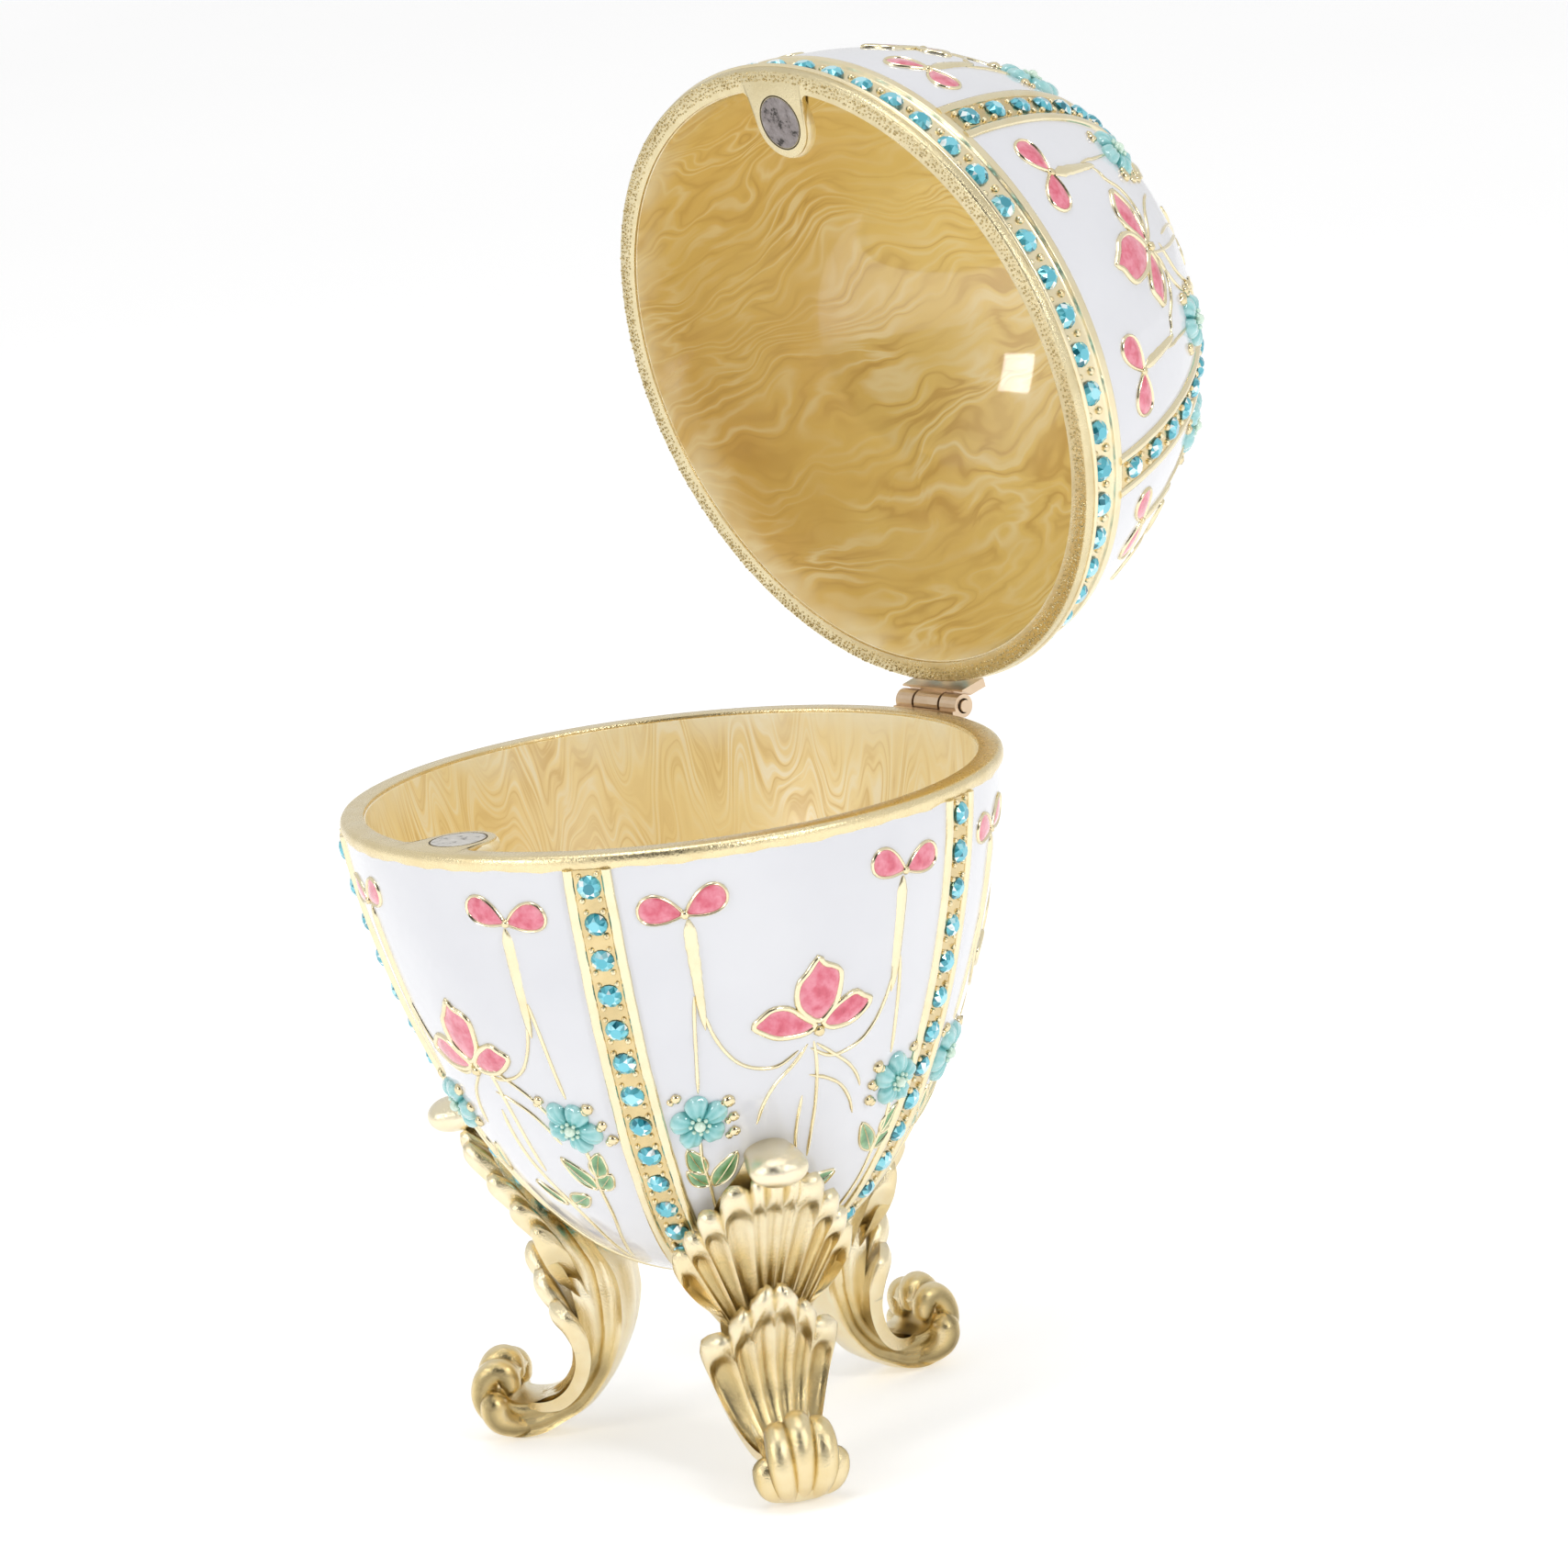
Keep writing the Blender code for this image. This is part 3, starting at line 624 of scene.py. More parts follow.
def lining_shell(half, rim_gap, rows=90, columns=200):
    """The pearly skin inside one half, rolled over at its top edge and paler where it pooled there."""
    azimuths = np.arange(columns) * 360.0 / columns
    arcs = rim_gap + (half.length - 0.05 - rim_gap) * np.linspace(0.0, 1.0, rows) ** 0.9
    top = arcs[0] - 0.12
    places = [(top, 0.1), (arcs[0] - 0.04, -LINING_PROUD * 0.7)]
    places += [(arc, -LINING_PROUD) for arc in arcs[1:]]
    places += [(arc, LINING_THICKNESS) for arc in (*arcs[::-4], top)]
    loops = [half.at(azimuths, arc, offset) for arc, offset in places]
    pooled = np.clip(1.0 - (arcs - arcs[0]) / POOLED_WIDTH, 0.0, 1.0)
    pooled = np.concatenate(((1.0,), pooled, np.zeros(len(loops) - rows - 1)))
    return Solid(np.vstack(loops), grid_faces(len(loops), columns, wrap_rows=True, wrap_columns=True),
                 np.repeat(pooled, columns))


def lobe_outline(inner_radius):
    """The inner edge of a rim seen from above: a circle with a filleted lobe for the magnet."""
    fillet = 0.8
    side = math.asin(LOBE_RADIUS / MAGNET_OFFSET)
    reach = math.sqrt((inner_radius - fillet) ** 2 - fillet ** 2)
    corner = np.array((reach * math.sin(side) + fillet * math.cos(side),
                       reach * math.cos(side) - fillet * math.sin(side)))
    turn = math.atan2(*corner)
    wall = np.linspace(turn, 2.0 * math.pi - turn, int(inner_radius * 8.0))[1:-1]
    bend = np.linspace(side - math.pi / 2.0, turn, 9)
    lobe = np.linspace(1.5 * math.pi - side, math.pi / 2.0 + side, 40)
    right = corner + around(bend, fillet, 0.0)[:, :2]
    points = np.vstack((right, around(wall, inner_radius, 0.0)[:, :2], right[::-1] * (-1.0, 1.0),
                        around(lobe, LOBE_RADIUS, 0.0)[:, :2] + (0.0, MAGNET_OFFSET)))
    turned = math.radians(MAGNET_AZIMUTH)
    return np.column_stack((points[:, 0] * math.cos(turned) + points[:, 1] * math.sin(turned),
                            -points[:, 0] * math.sin(turned) + points[:, 1] * math.cos(turned)))


def rim_solid(inner_radius, outer_section, direction):
    """One rim: its side band, its flat face and its inner wall with the magnet's lobe."""
    inner = lobe_outline(inner_radius)
    ahead = unit(np.roll(inner, -1, axis=0) - np.roll(inner, 1, axis=0))
    side = np.column_stack((-ahead[:, 1], ahead[:, 0]))
    side *= np.sign(np.sum(side * inner, axis=1).mean())
    azimuths = np.unwrap(np.arctan2(inner[:, 0], inner[:, 1]))
    forward = np.sign(azimuths[len(azimuths) // 3] - azimuths[0])
    azimuths = np.maximum.accumulate(azimuths * forward + np.arange(len(azimuths)) * 1e-6) * forward
    ragged = 0.10 * np.sin(azimuths * 23.0) * np.sin(azimuths * 7.0 + 1.0) + 0.05 * np.sin(azimuths * 61.0)
    loops = [around(azimuths, radius, height + ragged * (index < 2))
             for index, (radius, height) in enumerate(outer_section)]
    for out, height in ((0.22, 0.0), (0.05, -0.06), (0.0, -0.25), (0.0, -RIM_DEPTH + 0.8),
                        (0.25, -RIM_DEPTH + 0.25), (0.8, -RIM_DEPTH)):
        loops.append(np.column_stack((inner + side * out, np.full(len(inner), height))))
    loops.append(around(azimuths, outer_section[0][0] - 1.2, -RIM_DEPTH))
    points = np.vstack(loops) * (1.0, 1.0, direction)
    return Solid(points, grid_faces(len(loops), len(inner), wrap_rows=True, wrap_columns=True))


def bead_row(solid, radius, bead, count, skip):
    """A row of tiny half-sunk beads on a flat rim."""
    template, faces = ball(0)
    for step in range(count):
        azimuth = 360.0 * step / count
        if any(low < azimuth < high for low, high in skip):
            continue
        size = bead * random.uniform(0.6, 1.2)
        turn = math.radians(azimuth + random.normal(0.0, 0.15))
        centre = around(turn, radius + random.uniform(-0.12, 0.12), 0.0)
        solid.add(template * size + centre, faces, random.uniform(0.0, 0.5))


def at_magnet(section, direction):
    """A section turned about the middle of the magnet."""
    points, faces = lathe(section, 48)
    middle = around(math.radians(MAGNET_AZIMUTH), MAGNET_OFFSET, 0.0)
    return Solid(points * (1.0, 1.0, direction) + middle, faces)


def magnet_solid(direction):
    """A thin round magnet with its edge eased, flush in its lobe."""
    edge = MAGNET_RADIUS - 0.02
    return at_magnet(((edge, -1.2), (edge, -0.05), (edge - 0.08, 0.03), (1.0, 0.045), (0.05, 0.045),
                      (0.05, -1.2)), direction)


def glue_ring(direction):
    """The dark joint round a magnet."""
    inner = MAGNET_RADIUS - 0.03
    outer = MAGNET_RADIUS + 0.12
    return at_magnet(((inner, -0.3), (inner, 0.012), (outer, 0.012), (outer, -0.3)), direction)


# The lobe's bead of enamel: out from the lobe's radius, and height
LOBE_EDGE = ((-0.1, -0.2), (0.05, -0.22), (0.2, -0.4), (0.25, -0.75), (0.15, -1.1), (-0.2, -1.3),
             (-0.6, -1.3))


def lobe_skirt(inner_radius, direction):
    """Enamel that ran round the edge of a magnet's lobe."""
    solid = at_magnet([(LOBE_RADIUS + out, height) for out, height in LOBE_EDGE], direction)
    points = solid.points[0]
    out = np.hypot(points[:, 0], points[:, 1])
    points[:, :2] *= (np.minimum(out, inner_radius + 0.3) / out)[:, None]
    solid.values[0] = np.full(len(points), 0.8)
    return solid


# Radii and heights of the rims' side bands, and of the lid's ring of stones
BASE_RIM = ((30.75, -1.7), (30.98, -1.45), (31.15, -1.1), (31.2, -0.7), (31.14, -0.35), (30.98, -0.1),
            (30.7, 0.0))
LID_RIM = ((30.9, -1.0), (31.42, -0.95), (31.42, -0.6), (31.38, -0.3), (31.3, -0.08), (31.15, 0.0))
LID_RING = ((30.9, 0.9), (31.45, 0.92), (31.6, 1.05), (31.6, 1.25), (31.4, 1.45), (31.0, 1.58),
            (30.64, 1.7), (30.56, 2.2), (30.54, 2.75), (30.54, 4.0), (30.56, 4.3), (30.64, 4.4),
            (30.84, 4.46), (30.93, 4.52), (30.94, 4.6), (30.93, 4.7), (30.89, 5.15), (30.88, 5.25),
            (30.84, 5.34), (30.7, 5.4), (29.8, 5.42), (29.8, 0.9))
# The lid's rim: radius, bead size, count and gaps of each row of beads
LOBE_GAP = ((MAGNET_AZIMUTH - 9.0, MAGNET_AZIMUTH + 9.0),)
LID_BEADS = ((31.08, 0.11, 470, ()), (30.78, 0.15, 450, ()), (30.4, 0.14, 440, ()),
             (30.0, 0.13, 430, LOBE_GAP))
LINING_LOOKS = {"base": "honey_pearl", "lid": "amber_pearl"}
MAGNET_LOOKS = {"base": "bright_nickel", "lid": "worn_nickel"}


def build_rims(side, inner_radius, section, direction, bead_rows=()):
    """The gold rim of one half with its beads, its magnet and the joint round it."""
    rim = rim_solid(inner_radius, section, direction)
    side.show(lobe_skirt(inner_radius, direction), "lobe_side", LINING_LOOKS[side.name], "enamel")
    for radius, bead, count, skip in bead_rows:
        bead_row(rim, radius, bead, count, skip)
    side.show(rim, "rim", side.name + "_rim_gold", "gold", 50.0)
    side.show(magnet_solid(direction), "magnet_face", MAGNET_LOOKS[side.name], "magnet",
              node="magnet_" + side.name)
    side.show(glue_ring(direction), "magnet_joint", "dark_joint", "gold")


# ---------------------------------------------------------------- bands, stones and grains

BAND_RAIL = ((-2.32, -0.5), (-2.32, 0.08), (-2.2, 0.30), (-1.95, 0.40), (-1.65, 0.38), (-1.42, 0.26),
             (-1.34, 0.12), (-0.7, 0.10), (0.0, 0.09), (0.7, 0.10), (1.34, 0.12), (1.42, 0.26),
             (1.65, 0.38), (1.95, 0.40), (2.2, 0.30), (2.32, 0.08), (2.32, -0.5))


def band_solid(solid, half, axis, first_arc, last_arc):
    """One jewelled band: two rails with a channel between them."""
    arcs = np.arange(first_arc, last_arc, 0.5)
    wander = np.cumsum(random.normal(0.0, 0.012, (len(arcs), 2)), axis=0)
    wander -= wander.mean(axis=0)
    loops = []
    for arc, (left, right) in zip(arcs, wander):
        across, rise = np.array(BAND_RAIL).T
        across += np.where(across < 0.0, left, right)
        floor = np.abs(across) < 1.2
        rise[floor] += random.uniform(-0.05, 0.05, floor.sum())
        loops.append(half.at(half.azimuth(axis, across, arc), arc, rise))
    # Painted shade: the channel floor between the rails is darker than the rails
    hollow = np.where(np.abs(np.array(BAND_RAIL)[:, 0]) < 1.4, 0.55, 0.0)
    solid.add(*loft(loops), np.tile(hollow, len(loops)))


def stone_template():
    """A round chaton with its table, star, kite and girdle facets, and a share of painted light for each."""

    def ring(radius, height, steps):
        """Points at steps of an eighth of a half turn."""
        return [(radius * math.cos(step * math.pi / 8.0), radius * math.sin(step * math.pi / 8.0), height)
                for step in steps]

    points = ring(0.48, 0.52, range(0, 16, 2)) + ring(0.78, 0.36, range(1, 16, 2))
    points += ring(1.0, 0.05, range(16)) + ring(0.85, -0.45, range(16))
    faces = []
    lights = []
    for k in range(8):
        faces.append((k, (k + 1) % 8, 8 + k))
        faces.append((k, 8 + k, 16 + 2 * k, 8 + (k - 1) % 8))
        faces.append((8 + k, 16 + 2 * k + 1, 16 + 2 * k))
        faces.append((8 + k, 16 + (2 * k + 2) % 16, 16 + 2 * k + 1))
        # Painted reflection: each kind of facet gets its own brightness
        lights += [0.55, 0.45, 0.30, 0.30]
    faces.append(tuple(range(8)))
    lights.append(0.6)
    for k in range(16):
        after = (k + 1) % 16
        faces.append((16 + k, 16 + after, 32 + after, 32 + k))
    faces.append(tuple(range(32, 48))[::-1])
    return np.array(points), faces, np.array(lights + [0.0] * 17)


class Jewels:
    """The stones and grains of one half."""

    def __init__(self, half):
        self.half = half
        self.stones = Solid()
        self.lights = []
        self.grains = Solid()

    def add_stone(self, azimuth, arc, radius, seat):
        """One stone, set a little askew."""
        template, faces, shares = stone_template()
        centre, axes = self.half.local_frame(azimuth, arc, seat)
        turned = template @ np.array(Matrix.Rotation(random.uniform(0.0, math.pi / 4.0), 3, "Z")).T
        lean = (Matrix.Rotation(random.normal(0.0, 0.05), 3, "X")
                @ Matrix.Rotation(random.normal(0.0, 0.05), 3, "Y"))
        self.stones.add((turned * radius) @ np.array(lean).T @ axes.T + centre, faces)
        # Painted reflection and glints: each facet's brightness is varied, and three facets are made near
        # white
        sparkle = shares + random.normal(0.0, 0.22, len(shares)) * (shares > 0.0)
        sparkle[random.integers(0, 32, 3)] = 1.0
        self.lights.append(np.clip(sparkle, 0.0, 1.0))

    def add_grain(self, azimuth, arc, radius, seat):
        """One gold grain beside a stone."""
        template, faces = ball(1)
        centre, axes = self.half.local_frame(azimuth, arc, seat)
        self.grains.add((template * radius * (1.0, 1.0, 0.9)) @ axes.T + centre, faces,
                        random.uniform(0.0, 0.35))

    def set_band(self, axis, arcs):
        """The stones of one band, with four grains at each."""
        for arc in arcs:
            size = STONE_RADIUS * random.uniform(0.96, 1.04)
            self.add_stone(float(self.half.azimuth(axis, random.normal(0.0, 0.04), arc)), arc, size, 0.12)
            for aside in (-0.82, 0.82):
                for ahead in (-1.18, 1.18):
                    across = aside + random.normal(0.0, 0.06)
                    where = arc + ahead + random.normal(0.0, 0.05)
                    azimuth = float(self.half.azimuth(axis, across, where))
                    self.add_grain(azimuth, where, random.uniform(0.24, 0.33), 0.16)

    def set_ring(self):
        """The row of stones round the lid's rim, with a larger and a smaller grain between them."""
        arc = self.half.arc_at(RING_STONE_HEIGHT)
        sunk = RING_FLOOR_RADIUS - float(self.half.radius(arc))
        pitch = 360.0 / RING_STONES
        for step in range(RING_STONES):
            azimuth = pitch * (step + 0.5) + random.normal(0.0, 0.05)
            self.add_stone(azimuth, arc, RING_STONE_RADIUS * random.uniform(0.95, 1.05), sunk + 0.22)
            between = pitch * (step + 1.0)
            self.add_grain(between + random.normal(0.0, 0.1), arc + 0.7 + random.normal(0.0, 0.1),
                           random.uniform(0.38, 0.46), sunk + 0.12)
            self.add_grain(between + random.normal(0.0, 0.15), arc - 0.7, random.uniform(0.28, 0.36),
                           sunk + 0.1)


def tip_cap(half, arc):
    """A small gold rosette where the bands meet."""
    flat = 0.88
    azimuths = np.arange(60) * 6.0
    waves = 1.0 + 0.07 * np.cos(np.radians(azimuths) * 10.0)
    radius = float(half.radius(arc))
    loops = []
    for share, rise in ((1.0, -0.6), (1.02, 0.35), (0.95, 0.62), (0.8, 0.7), (0.72, 0.5), (0.6, 0.55),
                        (0.4, 0.75), (0.15, 0.8)):
        where = np.interp(radius * share, half.radii[::-1], half.arcs[::-1])
        points = half.at(azimuths, where, rise * flat)
        if share > 0.7:
            points[:, :2] *= waves[:, None]
        loops.append(points)
    solid = Solid(*loft(loops))
    template, faces = ball(1)
    tip = half.at(0.0, half.length)[0, 2] + half.direction * 0.35 * flat
    solid.add(template * (1.0, 1.0, 0.5) * 0.9 + (0.0, 0.0, tip), faces)
    return solid


def build_half(side, half, first_arc, stone_arcs, cap_length, ring=False):
    """Skin, bands, stones and grains of one half."""
    bands = Solid()
    jewels = Jewels(half)
    for axis in BAND_PITCH * np.arange(BAND_COUNT):
        band_solid(bands, half, axis, first_arc, half.length - BANDS_SHORT)
        jewels.set_band(axis, stone_arcs)
    if ring:
        jewels.set_ring()
    side.show(enamel_shell(half, first_arc - SKIN_LAP), "enamel", "white_enamel", "enamel")
    side.show(bands, "bands", "polished_gold", "gold", 50.0)
    side.show(jewels.stones, "stones", "turquoise_stone", "enamel", 0.0,
              face_values=np.concatenate(jewels.lights))
    side.show(jewels.grains, "grains", "grain_gold", "gold", 180.0)
    side.show(tip_cap(half, half.length - cap_length), "tip_cap", "polished_gold", "gold")


# ---------------------------------------------------------------- wires and enamelled cells

def teardrop(tip, angle, length, width, samples=14):
    """A drop with its point at the tip, leaning by an angle from across towards along."""
    turn = np.arange(samples) * 2.0 * math.pi / samples
    x = length * (1.0 - np.cos(turn)) / 2.0
    y = width / 2.0 / 0.77 * np.sin(turn) * np.sin(turn / 2.0)
    angle = math.radians(angle)
    return np.column_stack((tip[0] + x * math.cos(angle) - y * math.sin(angle),
                            tip[1] + x * math.sin(angle) + y * math.cos(angle)))


def leaf_outline(root, tip, width):
    """An almond from its root to its tip."""
    root = np.array(root, float)
    tip = np.array(tip, float)
    along = tip - root
    length = np.linalg.norm(along)
    along /= length
    aside = np.array((-along[1], along[0]))
    shares = np.array((0.0, 0.15, 0.4, 0.7, 1.0))
    swell = np.array((0.0, 0.36, 0.5, 0.36, 0.0))
    there = root + np.outer(shares * length, along) + np.outer(swell * width, aside)
    back = root + np.outer(shares[-2:0:-1] * length, along) - np.outer(swell[-2:0:-1] * width, aside)
    return np.vstack((there, back))


UPPER_PETAL = ((-0.3, 20.7), (0.9, 20.0), (2.0, 18.6), (2.25, 17.0), (1.9, 15.6), (1.1, 14.8), (0.2, 13.6),
               (-0.3, 13.1), (-0.9, 14.0), (-2.0, 14.5), (-2.85, 15.3), (-2.8, 17.0), (-2.3, 18.8),
               (-1.3, 20.1))
LEFT_PETAL = ((0.1, 21.1), (1.5, 19.9), (3.2, 18.5), (4.9, 18.3), (6.0, 19.0), (7.0, 20.0), (6.0, 20.9),
              (4.4, 21.8), (2.4, 22.0), (0.9, 21.8))
RIGHT_PETAL = ((-0.8, 21.0), (-1.7, 19.8), (-3.1, 18.8), (-4.7, 18.2), (-5.7, 18.9), (-6.7, 19.6),
               (-5.7, 20.8), (-4.2, 21.7), (-2.6, 21.9), (-1.5, 21.7))
FLOWER_JOINT = (-0.4, 20.9)
PETAL_SIZE = 0.86
BUD_JOINT = (11.0, 6.4)
BUD_STEM = ((10.7, 6.9, 0.7), (10.6, 8.0, 1.15), (10.4, 10.0, 1.15), (10.1, 12.5, 1.0), (9.8, 15.0, 0.85),
            (9.5, 17.0, 0.6), (9.3, 18.2, 0.3))
BUD_CURL = ((9.4, 16.6), (8.7, 18.6), (7.6, 20.6), (6.2, 22.2), (4.4, 23.1), (2.5, 23.2), (0.6, 22.0))
BUD_WIRE = ((10.35, 14.6), (10.3, 17.5), (10.1, 21.0), (9.8, 25.0))
BUD_LOBES = ((-14.0, 4.3), (-153.0, 4.2))
LOWER_WIRES = (((-0.3, 21.5), (0.9, 23.2), (2.7, 25.2), (3.7, 27.2), (4.2, 29.4)),
               ((-0.9, 21.3), (-1.3, 24.0), (-1.4, 28.0), (-1.2, 32.0), (-1.1, 34.5)),
               ((-1.2, 21.6), (-2.7, 22.9), (-4.6, 24.6), (-5.7, 26.2), (-6.2, 27.6)),
               ((-0.6, 24.9), (-2.3, 25.6), (-3.9, 26.8), (-5.0, 28.6), (-5.6, 30.6)),
               ((0.0, 27.1), (0.3, 30.0), (0.2, 33.0), (-0.5, 36.0), (-1.2, 38.7), (-1.5, 42.0),
                (-1.1, 45.5), (-0.4, 49.0)))
FLOWER_STEM = ((9.3, 30.4, 0.55), (8.9, 33.0, 0.5), (8.0, 35.8, 0.5), (6.7, 40.2, 0.5), (4.6, 44.5, 0.45),
               (2.4, 48.6, 0.35))
FLOWER_CENTRE = (9.5, 28.2)
FLOWER_RADIUS = 2.75
FLOWER_RINGS = ((0.98, -0.2), (1.0, 0.15), (0.96, 0.42), (0.86, 0.66), (0.72, 0.80), (0.56, 0.82),
                (0.4, 0.72), (0.26, 0.62), (0.12, 0.6))
FLOWER_KNOBS = ((-2.5, -2.1, 0.62), (-3.1, -0.2, 0.5), (-3.3, 1.5, 0.55), (2.3, -2.9, 0.5))
BASE_HEAD_SHIFTS = ((0.4, -0.6), (-1.0, -1.5), (1.2, 0.9), (-0.5, 0.2), (0.7, 0.5))
LID_HEAD_SHIFTS = ((0.0, 0.0),) * BAND_COUNT
# Panel and side: how far across the bud and the flower were laid off their place, and the knobs' side
BASE_SIDE_SHIFTS = {(1, -1): (0.0, -1.2, 1.0), (2, -1): (0.8, 1.3, -1.0)}
SIDE_LEAVES = (((7.5, 36.3), (5.8, 32.3), 1.9), ((8.6, 34.6), (10.4, 31.5), 1.7),
               ((8.0, 36.2), (10.2, 34.2), 1.6))
MIDDLE_LEAVES = (((-0.5, 39.2), (1.9, 36.2), 1.3), ((-1.7, 38.8), (-4.5, 37.4), 1.9))
# Arcs that the ornament is drawn at, and where each lies on the half; the lid's is also narrower
BASE_ARCS = ((0.0, 50.0), (0.0, 50.0))
LID_SQUEEZE = 0.94
LID_ARCS = ((6.4, 17.0, 20.5, 28.2, 36.0, 50.0), (10.8, 17.8, 18.4, 25.3, 33.0, 45.0))
# For each kind of ornament: the piece's name, its material and its slot
ORNAMENT_LOOKS = {
    "pink": ("petals", "pink_enamel", "enamel"),
    "wire": ("wires", "polished_gold", "gold"),
    "turquoise": ("raised_flowers", "turquoise_enamel", "enamel"),
    "heart": ("flower_hearts", "flower_heart", "enamel"),
    "green": ("leaves", "green_enamel", "enamel"),
}


class Ornament:
    """The flower ornament of one half, drawn panel by panel.

    It is laid out in millimetres across and along from the rim, as on the base. On the lid its arcs
    are moved and its width is squeezed. The centre is the azimuth of the panel being drawn.
    """

    def __init__(self, half, arcs_from, arcs_to, squeeze, head_shifts, side_shifts):
        self.half = half
        self.arcs_from = arcs_from
        self.arcs_to = arcs_to
        self.squeeze = squeeze
        self.head_shifts = head_shifts
        self.side_shifts = side_shifts
        self.centre = 0.0
        self.pieces = {name: Solid() for name in ORNAMENT_LOOKS}

    def arc(self, arc):
        """An arc of the base's ornament, moved to its place on this half."""
        return float(np.interp(arc, self.arcs_from, self.arcs_to))

    def side_shift(self, side):
        """What sets the bud and the raised flower of one side of the panel apart."""
        return self.side_shifts.get((int(self.centre // BAND_PITCH), int(side)), (0.0, 0.0, 1.0))

    def line(self, points, shift=0.0):
        """A line of the base's ornament, moved to its place on this half."""
        moved = [(point[0] * self.squeeze + shift, self.arc(point[1]), *point[2:]) for point in points]
        return np.array(moved)

    def shape(self, points, anchor):
        """An outline moved stiffly with its anchor."""
        shift = np.array((anchor[0] * (self.squeeze - 1.0), self.arc(anchor[1]) - anchor[1]))
        return np.asarray(points, float) + shift

    def skin(self, places, rise=0.0):
        """Points on the skin, or raised from it, at places across and along."""
        return self.half.at(self.half.azimuth(self.centre, places[:, 0], places[:, 1]), places[:, 1], rise)

    def wire(self, line, width, height=0.24, closed=False):
        """A half-round wire laid on the skin; the width may be one number or one for each given point."""
        line = np.asarray(line, float)
        path = smooth_line(np.column_stack((line, np.broadcast_to(width, len(line)))), 0.45, closed)
        spots = self.skin(path)
        outward = self.half.normal(self.half.azimuth(self.centre, path[:, 0], path[:, 1]), path[:, 1])
        count = len(path)
        scale = np.ones(count)
        if closed:
            ahead = np.roll(spots, -1, axis=0) - np.roll(spots, 1, axis=0)
        else:
            ahead = np.gradient(spots, axis=0)
            ends = np.minimum(np.arange(count), np.arange(count)[::-1]) / 3.0
            scale = 0.35 + 0.65 * np.minimum(ends, 1.0) ** 0.5
        aside = np.cross(outward, unit(ahead))
        half_widths = path[:, 2] / 2.0 * scale * (1.0 + random.normal(0.0, 0.05, count))
        across, up = np.cos(np.radians(np.arange(8) * 45.0)), np.sin(np.radians(np.arange(8) * 45.0))
        loops = [spots[step] + np.outer(across * half_widths[step], aside[step])
                 + np.outer(up * np.where(up > 0.0, height * scale[step], 0.2), outward[step])
                 for step in range(count)]
        if closed:
            faces = grid_faces(count, 8, wrap_rows=True, wrap_columns=True)
            self.pieces["wire"].add(np.vstack(loops), faces)
        else:
            self.pieces["wire"].add(*loft(loops))

    def cell(self, colour, outline, edge=0.06, dome=0.22, rings=6):
        """A drop of enamel that fills a closed outline, thickest in the middle."""
        line = smooth_line(outline, 0.3, closed=True)
        middle = line.mean(axis=0)
        loops = [self.skin(middle + (line - middle) * 0.98, -0.25)]
        values = [0.0]
        for ring in range(rings + 1):
            share = 1.0 - ring / (rings + 0.6)
            loops.append(self.skin(middle + (line - middle) * share, edge + dome * (1.0 - share ** 2.4)))
            values.append(1.0 - share ** 1.5)
        self.pieces[colour].add(*loft(loops), np.repeat(values, len(line)))

    def knob(self, across, arc, radius):
        """A small cast lump of gold."""
        template, faces = ball(1)
        azimuth = float(self.half.azimuth(self.centre, across, arc))
        where, axes = self.half.local_frame(azimuth, arc, 0.1)
        lumps = 1.0 + random.normal(0.0, 0.08, len(template))[:, None]
        self.pieces["wire"].add((template * lumps * radius * (1.0, 1.0, 0.75)) @ axes.T + where, faces, 0.2)

    def flower_head(self):
        """The three pink petals in the middle of a panel, the wires round them and their joint."""
        shift = self.head_shifts[int(self.centre // BAND_PITCH)]
        joint = self.shape([FLOWER_JOINT], FLOWER_JOINT)[0] + shift
        for outline in (UPPER_PETAL, LEFT_PETAL, RIGHT_PETAL):
            petal = joint + (self.shape(outline, FLOWER_JOINT) + shift - joint) * PETAL_SIZE
            self.cell("pink", petal)
            self.wire(petal, 0.58, 0.32, closed=True)
        self.knob(joint[0], joint[1] + 0.9, 0.55)

    def bud(self, side):
        """A pair of pink lobes on a long stem that parts into two wires."""
        shift = self.side_shift(side)[0]
        joint = (BUD_JOINT[0] * side, BUD_JOINT[1])
        for angle, length in BUD_LOBES:
            lean = angle if side > 0.0 else -180.0 - angle
            drop = self.shape(teardrop(joint, lean, length, 2.7), joint) + (shift, 0.0)
            self.cell("pink", drop)
            self.wire(drop, 0.34, 0.26, closed=True)
        stem = self.line(np.array(BUD_STEM) * (side, 1.0, 1.0), shift)
        self.wire(stem[:, :2], stem[:, 2], 0.34)
        for line in (BUD_CURL, BUD_WIRE):
            self.wire(self.line(np.array(line) * (side, 1.0), shift), 0.36, 0.2)
        top = self.shape([joint], joint)[0] + (shift, 0.0)
        self.knob(top[0], top[1], 0.42)

